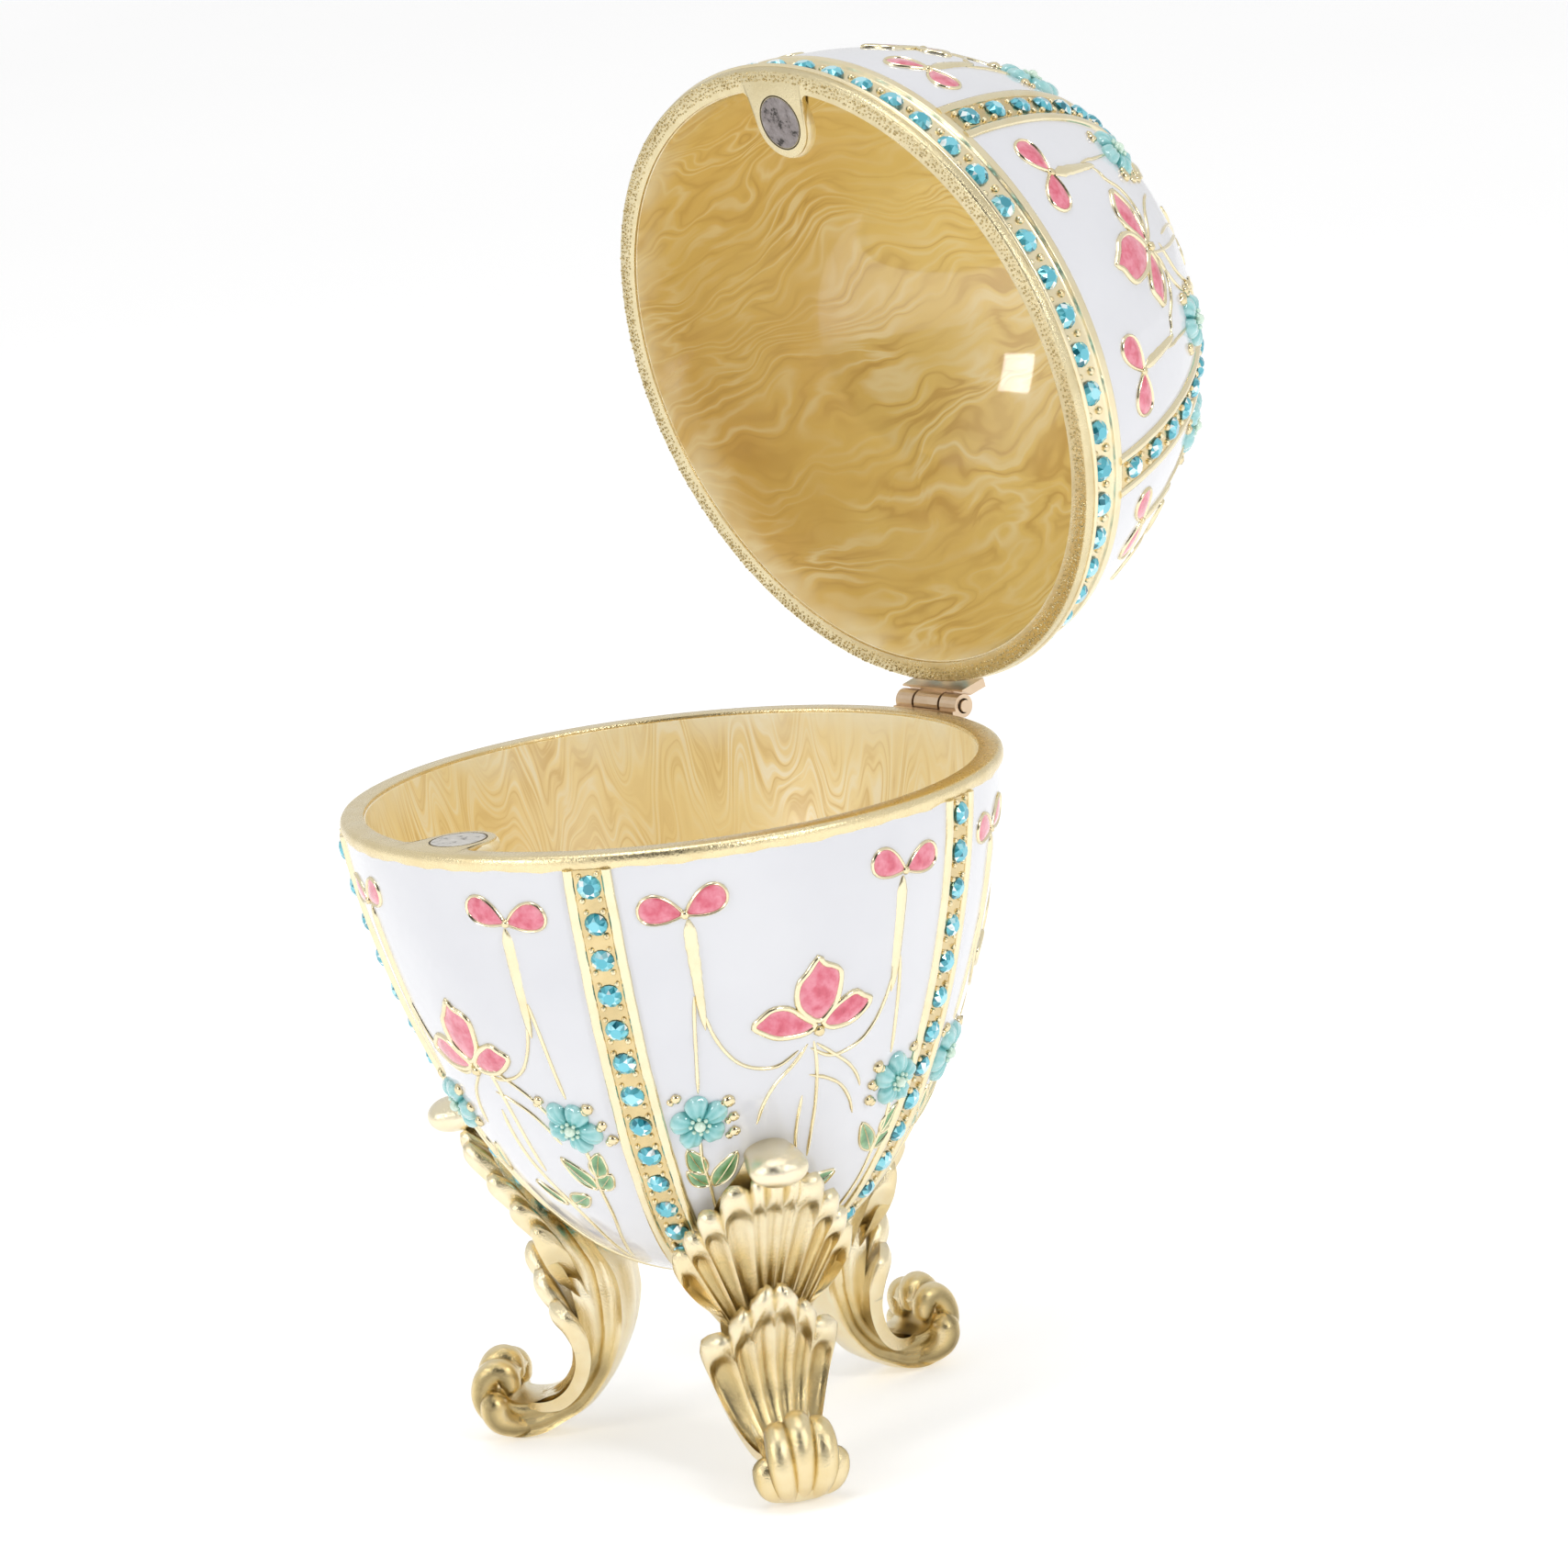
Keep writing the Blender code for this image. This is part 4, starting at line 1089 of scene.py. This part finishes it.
    def raised_flower(self, side):
        """A turquoise flower in relief, with a pale heart and gold knobs beside it."""
        _, shift, knob_side = self.side_shift(side)
        anchor = (FLOWER_CENTRE[0] * side, FLOWER_CENTRE[1])
        spot = self.shape([anchor], anchor)[0] + (shift, 0.0)
        turn = random.uniform(0.0, 2.0 * math.pi / 5.0)
        angles = np.arange(80) * 2.0 * math.pi / 80
        lobes = np.abs(np.cos(2.5 * (angles + turn)))
        edge = FLOWER_RADIUS * (0.62 + 0.38 * lobes ** 0.55)
        edge = np.column_stack((edge * np.cos(angles), edge * 1.1 * np.sin(angles)))
        loops = []
        values = []
        for share, rise in FLOWER_RINGS:
            ribs = 0.10 * np.cos(15.0 * (angles + turn)) * share
            parting = 0.42 * (1.0 - lobes ** 0.5) * min(share * 1.6, 1.0)
            loops.append(self.skin(spot + edge * share, rise + (ribs - parting) * (rise > 0.3)))
            values.append(np.clip(share * 0.9 - parting * 1.3 + ribs * 2.0, 0.0, 1.0))
        self.pieces["turquoise"].add(*loft(loops), np.concatenate(values))
        template, faces = ball(1)
        where, axes = self.half.local_frame(float(self.half.azimuth(self.centre, *spot)), spot[1], 0.75)
        self.pieces["heart"].add((template * 0.55) @ axes.T + where, faces, 0.5)
        for angle in np.arange(8) * math.pi / 4.0:
            aside = (0.85 * math.cos(angle), 0.85 * math.sin(angle), 0.02)
            self.pieces["heart"].add((template * 0.2 + aside) @ axes.T + where, faces, 0.2)
        for across, arc, radius in FLOWER_KNOBS:
            for more, size in ((0.0, 1.0), (1.0, 0.7)):
                self.knob(spot[0] + (across + 0.5 * more) * side * knob_side, spot[1] + arc + 0.4 * more,
                          radius * size)

    def leaf(self, side, leaf, shift=0.0):
        """A green leaf with its gold edge and vein."""
        root, tip = self.line(np.array(leaf[:2]) * (side, 1.0), shift)
        outline = leaf_outline(root, tip, leaf[2])
        self.cell("green", outline, 0.05, 0.16, 4)
        self.wire(outline, 0.26, 0.2, closed=True)
        self.wire((root, (root + tip) / 2.0, tip), 0.18, 0.3)

    def panel(self, centre):
        """All the ornament of one panel."""
        self.centre = centre
        self.flower_head()
        for side in (1.0, -1.0):
            self.bud(side)
            self.raised_flower(side)
            shift = self.side_shift(side)[1]
            stem = self.line(np.array(FLOWER_STEM) * (side, 1.0, 0.7), shift)
            self.wire(stem[:, :2], stem[:, 2], 0.2)
            for leaf in SIDE_LEAVES:
                self.leaf(side, leaf, shift)
        for leaf in MIDDLE_LEAVES:
            self.leaf(1.0, leaf)
        for line in LOWER_WIRES:
            self.wire(self.line(line), 0.36, 0.2)


def build_ornament(side, ornament):
    """The ornament of every panel of one half."""
    for panel in range(BAND_COUNT):
        ornament.panel(BAND_PITCH * (panel + 0.5))
    for kind, (label, look, slot) in ORNAMENT_LOOKS.items():
        side.show(ornament.pieces[kind], label, look, slot, 60.0, node="")


# ---------------------------------------------------------------- legs

# A leg is drawn as (distance from the egg's axis, height, distance aside), then turned to its azimuth.
# Stem stations: front radius and height, back radius and height, half widths at the front, middle and
# back, and how far the sides are hollowed into a grooved channel.
STEM_ROWS = (
    (21.8, -31.8, 18.5, -31.8, 2.2, 2.2, 1.6, 0.0),
    (21.6, -33.2, 17.8, -33.2, 3.0, 2.7, 2.0, 0.0),
    (20.7, -35.0, 16.6, -35.4, 4.4, 3.6, 2.4, 0.0),
    (19.4, -37.0, 15.2, -37.6, 5.2, 4.4, 2.6, 0.0),
    (18.0, -39.2, 13.8, -40.0, 5.6, 4.8, 2.7, 0.0),
    (16.6, -41.4, 12.2, -42.6, 5.8, 5.0, 2.6, 0.0),
    (15.4, -43.6, 10.9, -44.9, 5.6, 4.6, 2.4, 0.0),
    (14.8, -45.6, 10.0, -47.1, 4.8, 4.2, 2.2, 0.0),
    (14.8, -47.4, 9.7, -48.9, 4.4, 4.0, 2.0, 0.0),
    (14.5, -49.5, 9.7, -50.6, 4.4, 3.9, 1.9, 0.0),
    (14.4, -51.5, 10.0, -52.4, 4.0, 3.6, 1.8, 0.1),
    (14.5, -53.4, 10.5, -54.1, 3.5, 3.1, 1.8, 0.3),
    (14.9, -55.2, 11.3, -55.9, 3.1, 2.5, 1.8, 0.6),
    (15.6, -56.8, 12.4, -57.9, 2.9, 2.0, 1.8, 1.0),
    (16.5, -58.1, 13.9, -59.9, 2.8, 1.8, 1.8, 1.0),
    (17.7, -59.2, 15.7, -61.7, 2.8, 1.8, 1.9, 1.0),
    (19.1, -59.7, 17.9, -63.0, 2.8, 1.8, 2.0, 1.0),
    (20.2, -60.1, 19.9, -64.0, 2.8, 1.8, 2.2, 1.0),
    (21.2, -60.2, 22.0, -64.4, 2.8, 1.9, 2.4, 1.0),
    (22.2, -60.1, 23.9, -64.1, 2.7, 2.1, 2.6, 0.9),
    (22.8, -59.7, 25.2, -62.9, 2.6, 2.3, 2.6, 0.7),
    (23.1, -59.2, 25.8, -60.9, 2.6, 2.5, 2.6, 0.4),
    (23.1, -58.8, 25.8, -58.8, 2.6, 2.6, 2.6, 0.2),
    (22.9, -58.4, 25.1, -57.2, 2.6, 2.6, 2.5, 0.0),
    (22.6, -58.3, 23.9, -56.5, 2.5, 2.6, 2.4, 0.0),
    (22.4, -58.4, 22.7, -56.7, 2.4, 2.5, 2.3, 0.0),
    (22.3, -58.7, 22.0, -57.6, 2.0, 2.1, 2.0, 0.0),
)
# Share of the front half width at each share of the depth, from the front to the back spine
WEB_DEPTHS = (0.0, 0.1, 0.3, 0.44, 0.5, 0.56, 0.7, 0.84, 0.95, 1.0)
WEB_WIDTHS = (1.0, 1.0, 0.93, 0.86, 0.68, 0.74, 0.60, 0.62, 0.70, 0.62)
CHANNEL_GROOVES = 3
# Shells: the front line down to the point the channels fan out from, and for each channel its first
# and last angle and how far it reaches at five places between them
UPPER_LINE = ((24.5, -33.3), (23.2, -35.4), (21.5, -38.0), (19.7, -40.8), (18.1, -43.4), (16.7, -46.0),
              (15.2, -49.0))
UPPER_MIDDLE = ((-3.0, 3.0, (18.3, 18.3, 18.3, 18.3, 18.3)),)
UPPER_CHANNELS = ((3.0, 8.0, (18.3, 18.3, 18.3, 18.2, 18.0)), (8.0, 20.0, (17.5, 17.6, 17.6, 16.6, 14.7)),
                  (20.0, 32.0, (14.7, 14.7, 14.7, 14.0, 12.5)), (32.0, 45.0, (12.4, 12.4, 12.4, 11.8, 10.8)),
                  (45.0, 74.0, (11.2, 10.9, 9.8, 7.6, 5.4)))
LOWER_LINE = ((18.6, -44.5), (18.6, -45.6), (18.2, -47.0), (17.5, -49.2), (16.8, -51.4), (16.2, -53.4),
              (16.1, -55.2), (16.5, -56.8), (17.3, -58.2), (18.4, -59.3), (19.7, -60.0), (20.9, -60.3))
LOWER_CHANNELS = ((0.0, 8.5, (18.6, 18.5, 18.1, 17.5, 16.9)), (8.5, 18.0, (16.8, 16.4, 15.8, 15.1, 14.4)),
                  (18.0, 33.0, (14.2, 14.0, 13.8, 13.4, 12.6)))
# Where the channels start, the drop of their point, crown, thickness, flare and painted darkening of each
# shell: strength, height and fading of a painted shade and dark reflection near its lower end
UPPER_SHAPE = (0.28, 7.0, 0.045, 1.7, 0.0, (0.5, 10.0, 3.5))
LOWER_SHAPE = (0.24, 5.0, 0.068, 1.3, 0.7, (0.75, 13.5, 6.0))
CHANNEL_DEPTH = 0.62
NOTCH_DEPTH = 0.7             # how far the edge falls back between two channels
SHELL_LIP = 1.05
# The curl's ribs: the middle line of the tallest one with its radii, and of the short outer ones
CURL_LINE = ((21.6, -63.3), (23.2, -63.1), (24.5, -62.1), (25.4, -60.6), (25.6, -59.0), (25.2, -57.6),
             (24.4, -56.8), (23.6, -56.7), (23.1, -57.2), (23.0, -58.0))
CURL_RADII = (1.0, 1.1, 1.2, 1.25, 1.3, 1.3, 1.3, 1.25, 1.2, 1.1)
CURL_SPREAD = (0.3, 0.5, 0.75, 0.92, 1.0, 1.0, 0.95, 0.9, 0.85, 0.8)
CURL_DROP = 0.8
RIB_SPACING = 2.05
OUTER_LINE = ((22.0, -63.4), (23.1, -63.0), (23.9, -62.3), (24.25, -61.4), (24.25, -60.6))
OUTER_ASIDE = (1.2, 2.1, 2.75, 3.1, 3.2)
OUTER_RADII = (0.9, 1.1, 1.3, 1.4, 1.4)
# Knob rows: radius from the axis, half width, height, half height
KNOB_ROWS = ((19.5, 2.0, -31.4, 1.5), (23.0, 2.5, -31.6, 1.65), (25.2, 2.75, -31.8, 1.75),
             (26.4, 2.7, -31.9, 1.65), (27.2, 2.25, -31.9, 1.35), (27.8, 1.4, -31.9, 0.85),
             (28.05, 0.5, -31.9, 0.3))
GROUND = -64.4
LEAN = -0.027                 # how far a leg leans round the egg for each millimetre up


def stem_section(row, columns=11, sides=19):
    """One loop of points round the stem and how deep each lies in a hollow, the value that paints shade
    there.
    """
    front = row[:2]
    front_half, middle_half, back_half, recess = row[4:]
    across = np.linspace(-1.0, 1.0, columns)
    share = np.linspace(0.06, 0.94, sides)
    web = np.interp(share, WEB_DEPTHS, WEB_WIDTHS) * front_half
    edge = np.minimum(np.minimum(share, 1.0 - share) / 0.16, 1.0)
    grooves = 0.10 * np.cos(share * math.pi * 2.0 * CHANNEL_GROOVES) * (edge >= 1.0)
    border = np.where(share < 0.5, front_half, back_half)
    channel = middle_half + (border - middle_half) * (1.0 - edge ** 1.5) + grooves
    side = web * (1.0 - recess) + channel * recess
    # Painted shade along the middle of the web's sides, and in the channel's hollow where the sides are
    # recessed
    painted_darkening = np.interp(share, (0.4, 0.5, 0.6, 0.75, 0.9), (0.0, 1.0, 0.6, 0.8, 0.0))
    hollow = recess * edge * 0.9 + (1.0 - recess) * 0.3 * painted_darkening
    aside = np.concatenate((across * front_half, side, -across * back_half * 0.9, -side[::-1]))
    there = np.concatenate((0.02 + 0.04 * across ** 2, share, 1.0 - 0.06 * across ** 2, share[::-1]))
    plain = np.full(columns, 0.15)
    places = front + np.outer(there, row[2:4] - front)
    return np.column_stack((places, aside)), np.concatenate((plain, hollow, plain, hollow[::-1]))


def stem_shape():
    """The web behind the shells and the curved foot below them."""
    loops, hollows = zip(*[stem_section(row) for row in smooth_rows(STEM_ROWS, 7)])
    return *loft(loops), np.concatenate(hollows)


def shell_columns(channels):
    """Angle, reach, place within its channel (0 the middle, 1 a ridge) and channel width of each column."""
    columns = []
    for first, last, reaches in channels:
        count = max(int((last - first) / 1.2), 7)
        for share in np.linspace(0.0, 1.0, count, endpoint=False):
            off = abs(share * 2.0 - 1.0)
            reach = np.interp(share, (0.0, 0.25, 0.5, 0.75, 1.0), reaches) - NOTCH_DEPTH * off ** 5
            columns.append((first + (last - first) * share, reach, off, last - first))
    last = channels[-1]
    columns.append((last[1], last[2][-1] - NOTCH_DEPTH, 1.0, last[1] - last[0]))
    return np.array(columns).T


def shell_shape(line, middle, channels, start, drop, crown, thickness, flare, painted_darkening):
    """A scallop shell: channels that fan out between ridges and end in arches under a rolled lip.

    The channels run from a point that lies below the end of the line by the drop. Near that end the
    shell is painted darker, by so much, up to a height above it and fading over a length: a painted shade and
    dark reflection.
    """
    dark_strength, dark_height, fading = painted_darkening
    mirrored = [(-last, -first, reaches[::-1]) for first, last, reaches in channels[::-1]]
    angles, reaches, off, widths = shell_columns(mirrored + list(middle) + list(channels))
    turn = np.radians(angles)
    fine = smooth_rows(line, 20)
    lengths = np.concatenate(([0.0], np.cumsum(np.hypot(*np.diff(fine, axis=0).T))))
    slope = unit(np.gradient(fine, axis=0))
    outward = np.column_stack((-slope[:, 1], slope[:, 0]))
    front, back, hollows = [], [], []
    shares = np.concatenate((np.linspace(start, 0.7, 18, endpoint=False), np.linspace(0.7, 1.0, 24)))
    for share in shares:
        reach = reaches * share
        aside = reach * np.sin(turn)
        along = lengths[-1] + drop * (1.0 - share) - reach * np.cos(turn)
        place = np.column_stack([np.interp(along, lengths, column) for column in fine.T])
        place += np.outer(np.minimum(along, 0.0), slope[0])
        place += np.outer(np.maximum(along - lengths[-1], 0.0), slope[-1])
        out = np.column_stack([np.interp(along, lengths, column) for column in outward.T])
        arch = np.clip((share - 0.73) / 0.25, 0.0, 1.0)
        spread = np.minimum((off ** 3 + arch ** 3) ** (1.0 / 3.0), 1.0) ** 1.5
        wall = 1.0 - np.cos(math.pi / 2.0 * spread) ** 2
        narrow = np.minimum(np.radians(widths) * reach / 2.6, 1.0)
        rise = -CHANNEL_DEPTH * narrow * (1.0 - wall) - crown * aside ** 2
        bead = math.sin(2.5 * max(share - 0.81, 0.0) / 0.19) ** 1.5
        rise += SHELL_LIP * (1.0 - 0.9 * off ** 2) * bead
        flared = flare * np.clip((share - 0.5) / 0.5, 0.0, 1.0) ** 2
        rise += flared - 0.25 * np.clip((share - 0.96) / 0.04, 0.0, 1.0) ** 2
        front.append(np.column_stack((place + out * rise[:, None], aside)))
        # Painted shade and dark reflection: darker in the channels' middles and towards the shell's lower end
        low = np.clip((dark_height - lengths[-1] + along) / fading, 0.0, 1.0)
        hollows.append((1.0 - 0.6 * wall) * (0.2 + dark_strength * low))
        eased = 1.0 - 0.7 * np.clip((share - 0.86) / 0.14, 0.0, 1.0) ** 2
        sunk = thickness * eased * np.minimum(reach / 6.0, 1.0) + crown * aside ** 2 - 0.5 * flared
        back.append(np.column_stack((place - out * sunk[:, None], aside * 0.97)))
    rows, columns = len(shares), len(angles)
    points = np.vstack(front + back[::-1])
    faces = grid_faces(rows * 2, columns, wrap_rows=True)
    for row in range(rows - 1):
        behind = (2 * rows - 1 - row) * columns
        below = behind - columns
        faces.append((row * columns, (row + 1) * columns, below, behind))
        edge = columns - 1
        faces.append((behind + edge, below + edge, (row + 1) * columns + edge, row * columns + edge))
    return points, faces, np.concatenate(hollows + [np.full(rows * columns, 0.2)])


def rib_shape(points, radii, segments=20):
    """A rounded finger along its middle line, with round ends."""
    path = smooth_rows(np.column_stack((points, radii)), 8)
    spots, radius = path[:, :3], path[:, 3]
    ahead = unit(np.gradient(spots, axis=0))
    side = unit(np.array((0.0, 0.0, 1.0)) - ahead * ahead[:, 2:3])
    rise = np.cross(side, ahead)
    turn = np.arange(segments) * 2.0 * math.pi / segments
    leans = [math.radians(angle) for angle in (80.0, 60.0, 40.0, 20.0)]
    stations = [(0, -math.sin(lean), math.cos(lean)) for lean in leans]
    stations += [(step, 0.0, 1.0) for step in range(len(spots))]
    stations += [(-1, math.sin(lean), math.cos(lean)) for lean in leans[::-1]]
    loops = []
    for step, shift, size in stations:
        ring = np.outer(np.cos(turn), side[step]) + np.outer(np.sin(turn), rise[step])
        loops.append(spots[step] + (ahead[step] * shift + ring * size) * radius[step])
    # The shade value paints shade and dark reflection: a little over the whole rib, much more on its sides
    # where the ribs meet
    return *loft(loops), np.tile(0.3 + 0.8 * np.abs(np.cos(turn)) ** 5, len(loops))


def curl_shapes():
    """The five ribs of the curled foot."""
    line = np.array(CURL_LINE)
    lifted = np.clip((line[:, 1] - line[0, 1]) / 4.0, 0.0, 1.0)
    shapes = []
    for side in (0.0, 1.0, -1.0):
        aside = side * RIB_SPACING * np.array(CURL_SPREAD)
        height = line[:, 1] - abs(side) * CURL_DROP * lifted
        shapes.append(rib_shape(np.column_stack((line[:, 0], height, aside)), CURL_RADII))
    return shapes + [rib_shape(np.column_stack((OUTER_LINE, side * np.array(OUTER_ASIDE))), OUTER_RADII)
                     for side in (1.0, -1.0)]


def knob_shape(segments=40):
    """The round knob at the top of a leg."""
    turn = np.arange(segments) * 2.0 * math.pi / segments
    loops = [np.column_stack((np.full(segments, r), z + tall * np.sin(turn), wide * np.cos(turn)))
             for r, wide, z, tall in smooth_rows(KNOB_ROWS, 5)]
    return *loft(loops), 0.0


def build_leg(side, azimuth):
    """One scroll leg: knob, two fluted shells, stem and the curled foot."""
    turn = math.radians(azimuth)
    solid = Solid()
    shapes = [stem_shape(), knob_shape(), shell_shape(UPPER_LINE, UPPER_MIDDLE, UPPER_CHANNELS, *UPPER_SHAPE),
              shell_shape(LOWER_LINE, (), LOWER_CHANNELS, *LOWER_SHAPE)]
    for points, faces, hollow in shapes + curl_shapes():
        out, height, aside = points.T
        height = np.maximum(height, GROUND)
        aside = aside + LEAN * (height - GROUND)
        solid.add(around(turn, out, height) + around(turn + math.pi / 2.0, aside, 0.0), faces, hollow)
    side.show(solid, "cast", "cast_gold", "gold", 55.0)


# ---------------------------------------------------------------- studio

def add_camera(frame):
    """The camera, at the photograph's angle."""
    azimuth, elevation, roll = map(math.radians, (CAMERA_AZIMUTH, CAMERA_ELEVATION, CAMERA_ROLL))
    back = np.array((math.sin(azimuth) * math.cos(elevation), -math.cos(azimuth) * math.cos(elevation),
                     math.sin(elevation)))
    right = np.array((math.cos(azimuth), math.sin(azimuth), 0.0))
    up = np.cross(back, right)
    aside = math.cos(roll) * right + math.sin(roll) * up
    above = -math.sin(roll) * right + math.cos(roll) * up
    place_at = rim_centre(frame) + MM * (CAMERA_DISTANCE * back + CAMERA_ASIDE * aside + CAMERA_RISE * above)
    camera = bpy.data.objects.new("camera", bpy.data.cameras.new("camera"))
    camera.data.lens = CAMERA_LENS
    camera.data.sensor_width = SENSOR_WIDTH
    camera.data.clip_start = 0.01
    axes = np.column_stack((aside, above, back))
    camera.matrix_world = Matrix.Translation(Vector(place_at)) @ Matrix(axes.tolist()).to_4x4()
    bpy.context.scene.collection.objects.link(camera)
    bpy.context.scene.camera = camera
    return Vector(back)


def add_softbox(name, direction, size, power):
    """A square soft light that looks at the middle of the object."""
    lamp = bpy.data.lights.new(name, "AREA")
    lamp.shape = "SQUARE"
    lamp.size = size
    lamp.energy = power
    item = bpy.data.objects.new(name, lamp)
    direction = Vector(direction).normalized()
    item.location = OBJECT_MIDDLE + direction * LIGHT_DISTANCE
    item.rotation_euler = direction.to_track_quat("Z", "Y").to_euler()
    bpy.context.scene.collection.objects.link(item)


def add_world(towards_camera):
    """A white tent with a small dark opening above the camera."""
    world = bpy.data.worlds.new("studio")
    bpy.context.scene.world = world
    world.use_nodes = True
    nodes = Nodes(world.node_tree)
    background = nodes.tree.nodes["Background"]
    direction = nodes.put("ShaderNodeTexCoord").outputs["Generated"]
    facing = nodes.dot(direction, tuple((towards_camera + Vector((0.02, 0.0, 0.22))).normalized()))
    opening = nodes.ramp(facing, ((0.70, 0.78), (0.82, 0.45), (0.915, 0.08), (1.0, 0.03)))
    seen = nodes.put("ShaderNodeLightPath").outputs["Is Camera Ray"]
    nodes.tree.links.new(nodes.blend(seen, opening, (1.0, 1.0, 1.0, 1.0)), background.inputs["Color"])
    background.inputs["Strength"].default_value = 1.0


def add_floor():
    """A plain pale floor."""
    mesh = bpy.data.meshes.new("floor")
    corners = ((-1, -1), (1, -1), (1, 1), (-1, 1))
    mesh.from_pydata([(x * FLOOR_SIZE, y * FLOOR_SIZE, 0.0) for x, y in corners], [], [(0, 1, 2, 3)])
    look = Look("pale_floor", {"Roughness": 0.7, "Emission Color": (1.0, 1.0, 1.0, 1.0),
                               "Emission Strength": 0.32})
    look.drive("Base Color", look.ramp(look.noise(0.002, 2.0), ((0.3, 0.90), (0.7, 0.93))))
    mesh.materials.append(look.material)
    floor = bpy.data.objects.new("floor", mesh)
    bpy.context.scene.collection.objects.link(floor)


def set_studio(frame):
    """Camera, lights, world and floor."""
    bpy.context.scene.view_settings.view_transform = "Standard"
    add_world(add_camera(frame))
    add_softbox("key", (-0.08, -1.0, 0.38), 0.2, 1.0)
    add_softbox("right", (1.0, -0.1, 0.5), 0.14, 1.4)
    add_softbox("top", (0.1, -0.2, 1.0), 0.3, 1.4)
    add_floor()


# ---------------------------------------------------------------- the whole

def main():
    """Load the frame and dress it."""
    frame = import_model()
    materials = make_materials()
    base_place = base_matrix(frame)
    lid_place = lid_matrix(frame)
    lid_turned = lid_place @ np.array(Matrix.Rotation(math.radians(-LID_TURN), 4, "Z"))
    base_side = Side("base", "base", "base_shell", base_place, materials)
    lid_side = Side("lid", "lid", "lid_shell", lid_place, materials)
    lid_outside = Side("lid", "lid", "lid_shell", lid_turned, materials)
    base_shape = (BASE_DEPTH_POWER, BASE_RADIUS_POWER, -1.0)
    lid_shape = (LID_POWER, LID_POWER, 1.0)
    base = Half(BASE_RADIUS, BASE_DEPTH, *base_shape)
    lid = Half(LID_RADIUS, LID_HEIGHT, *lid_shape)
    lid_first = lid.arc_at(RING_TOP)
    build_half(base_side, base, BASE_BANDS_FROM, BASE_STONE_ARCS, BASE_CAP_LENGTH)
    build_half(lid_outside, lid, lid_first - LID_BANDS_LAP, lid_first + LID_STONE_ARCS, LID_CAP_LENGTH,
               ring=True)
    lid_side.show(Solid(*lathe(LID_RING, 240)), "ring", "grain_gold", "gold", 50.0)
    for side, radius, height, shape, rim_gap in (
            (base_side, BASE_RIM_INNER, BASE_DEPTH, base_shape, BASE_LINING_FROM),
            (lid_side, LID_RIM_INNER, LID_HEIGHT, lid_shape, LID_LINING_FROM)):
        lining = lining_shell(Half(radius, height - WALL, *shape), rim_gap)
        side.show(lining, "lining", LINING_LOOKS[side.name], "enamel")
    build_rims(base_side, BASE_RIM_INNER, BASE_RIM, 1.0)
    build_rims(lid_side, LID_RIM_INNER, LID_RIM, -1.0, LID_BEADS)
    build_ornament(base_side, Ornament(base, *BASE_ARCS, 1.0, BASE_HEAD_SHIFTS, BASE_SIDE_SHIFTS))
    build_ornament(lid_outside, Ornament(lid, *LID_ARCS, LID_SQUEEZE, LID_HEAD_SHIFTS, {}))
    for name, azimuth in LEG_AZIMUTHS.items():
        build_leg(Side(name, "base", name, base_place, materials), azimuth)
    for name in ("hinge_leaf_base", "hinge_leaf_lid", "hinge_pin"):
        node = frame["nodes"][name]
        node.data.materials.clear()
        node.data.materials.append(materials["hinge_brass"])
    set_studio(frame)


main()
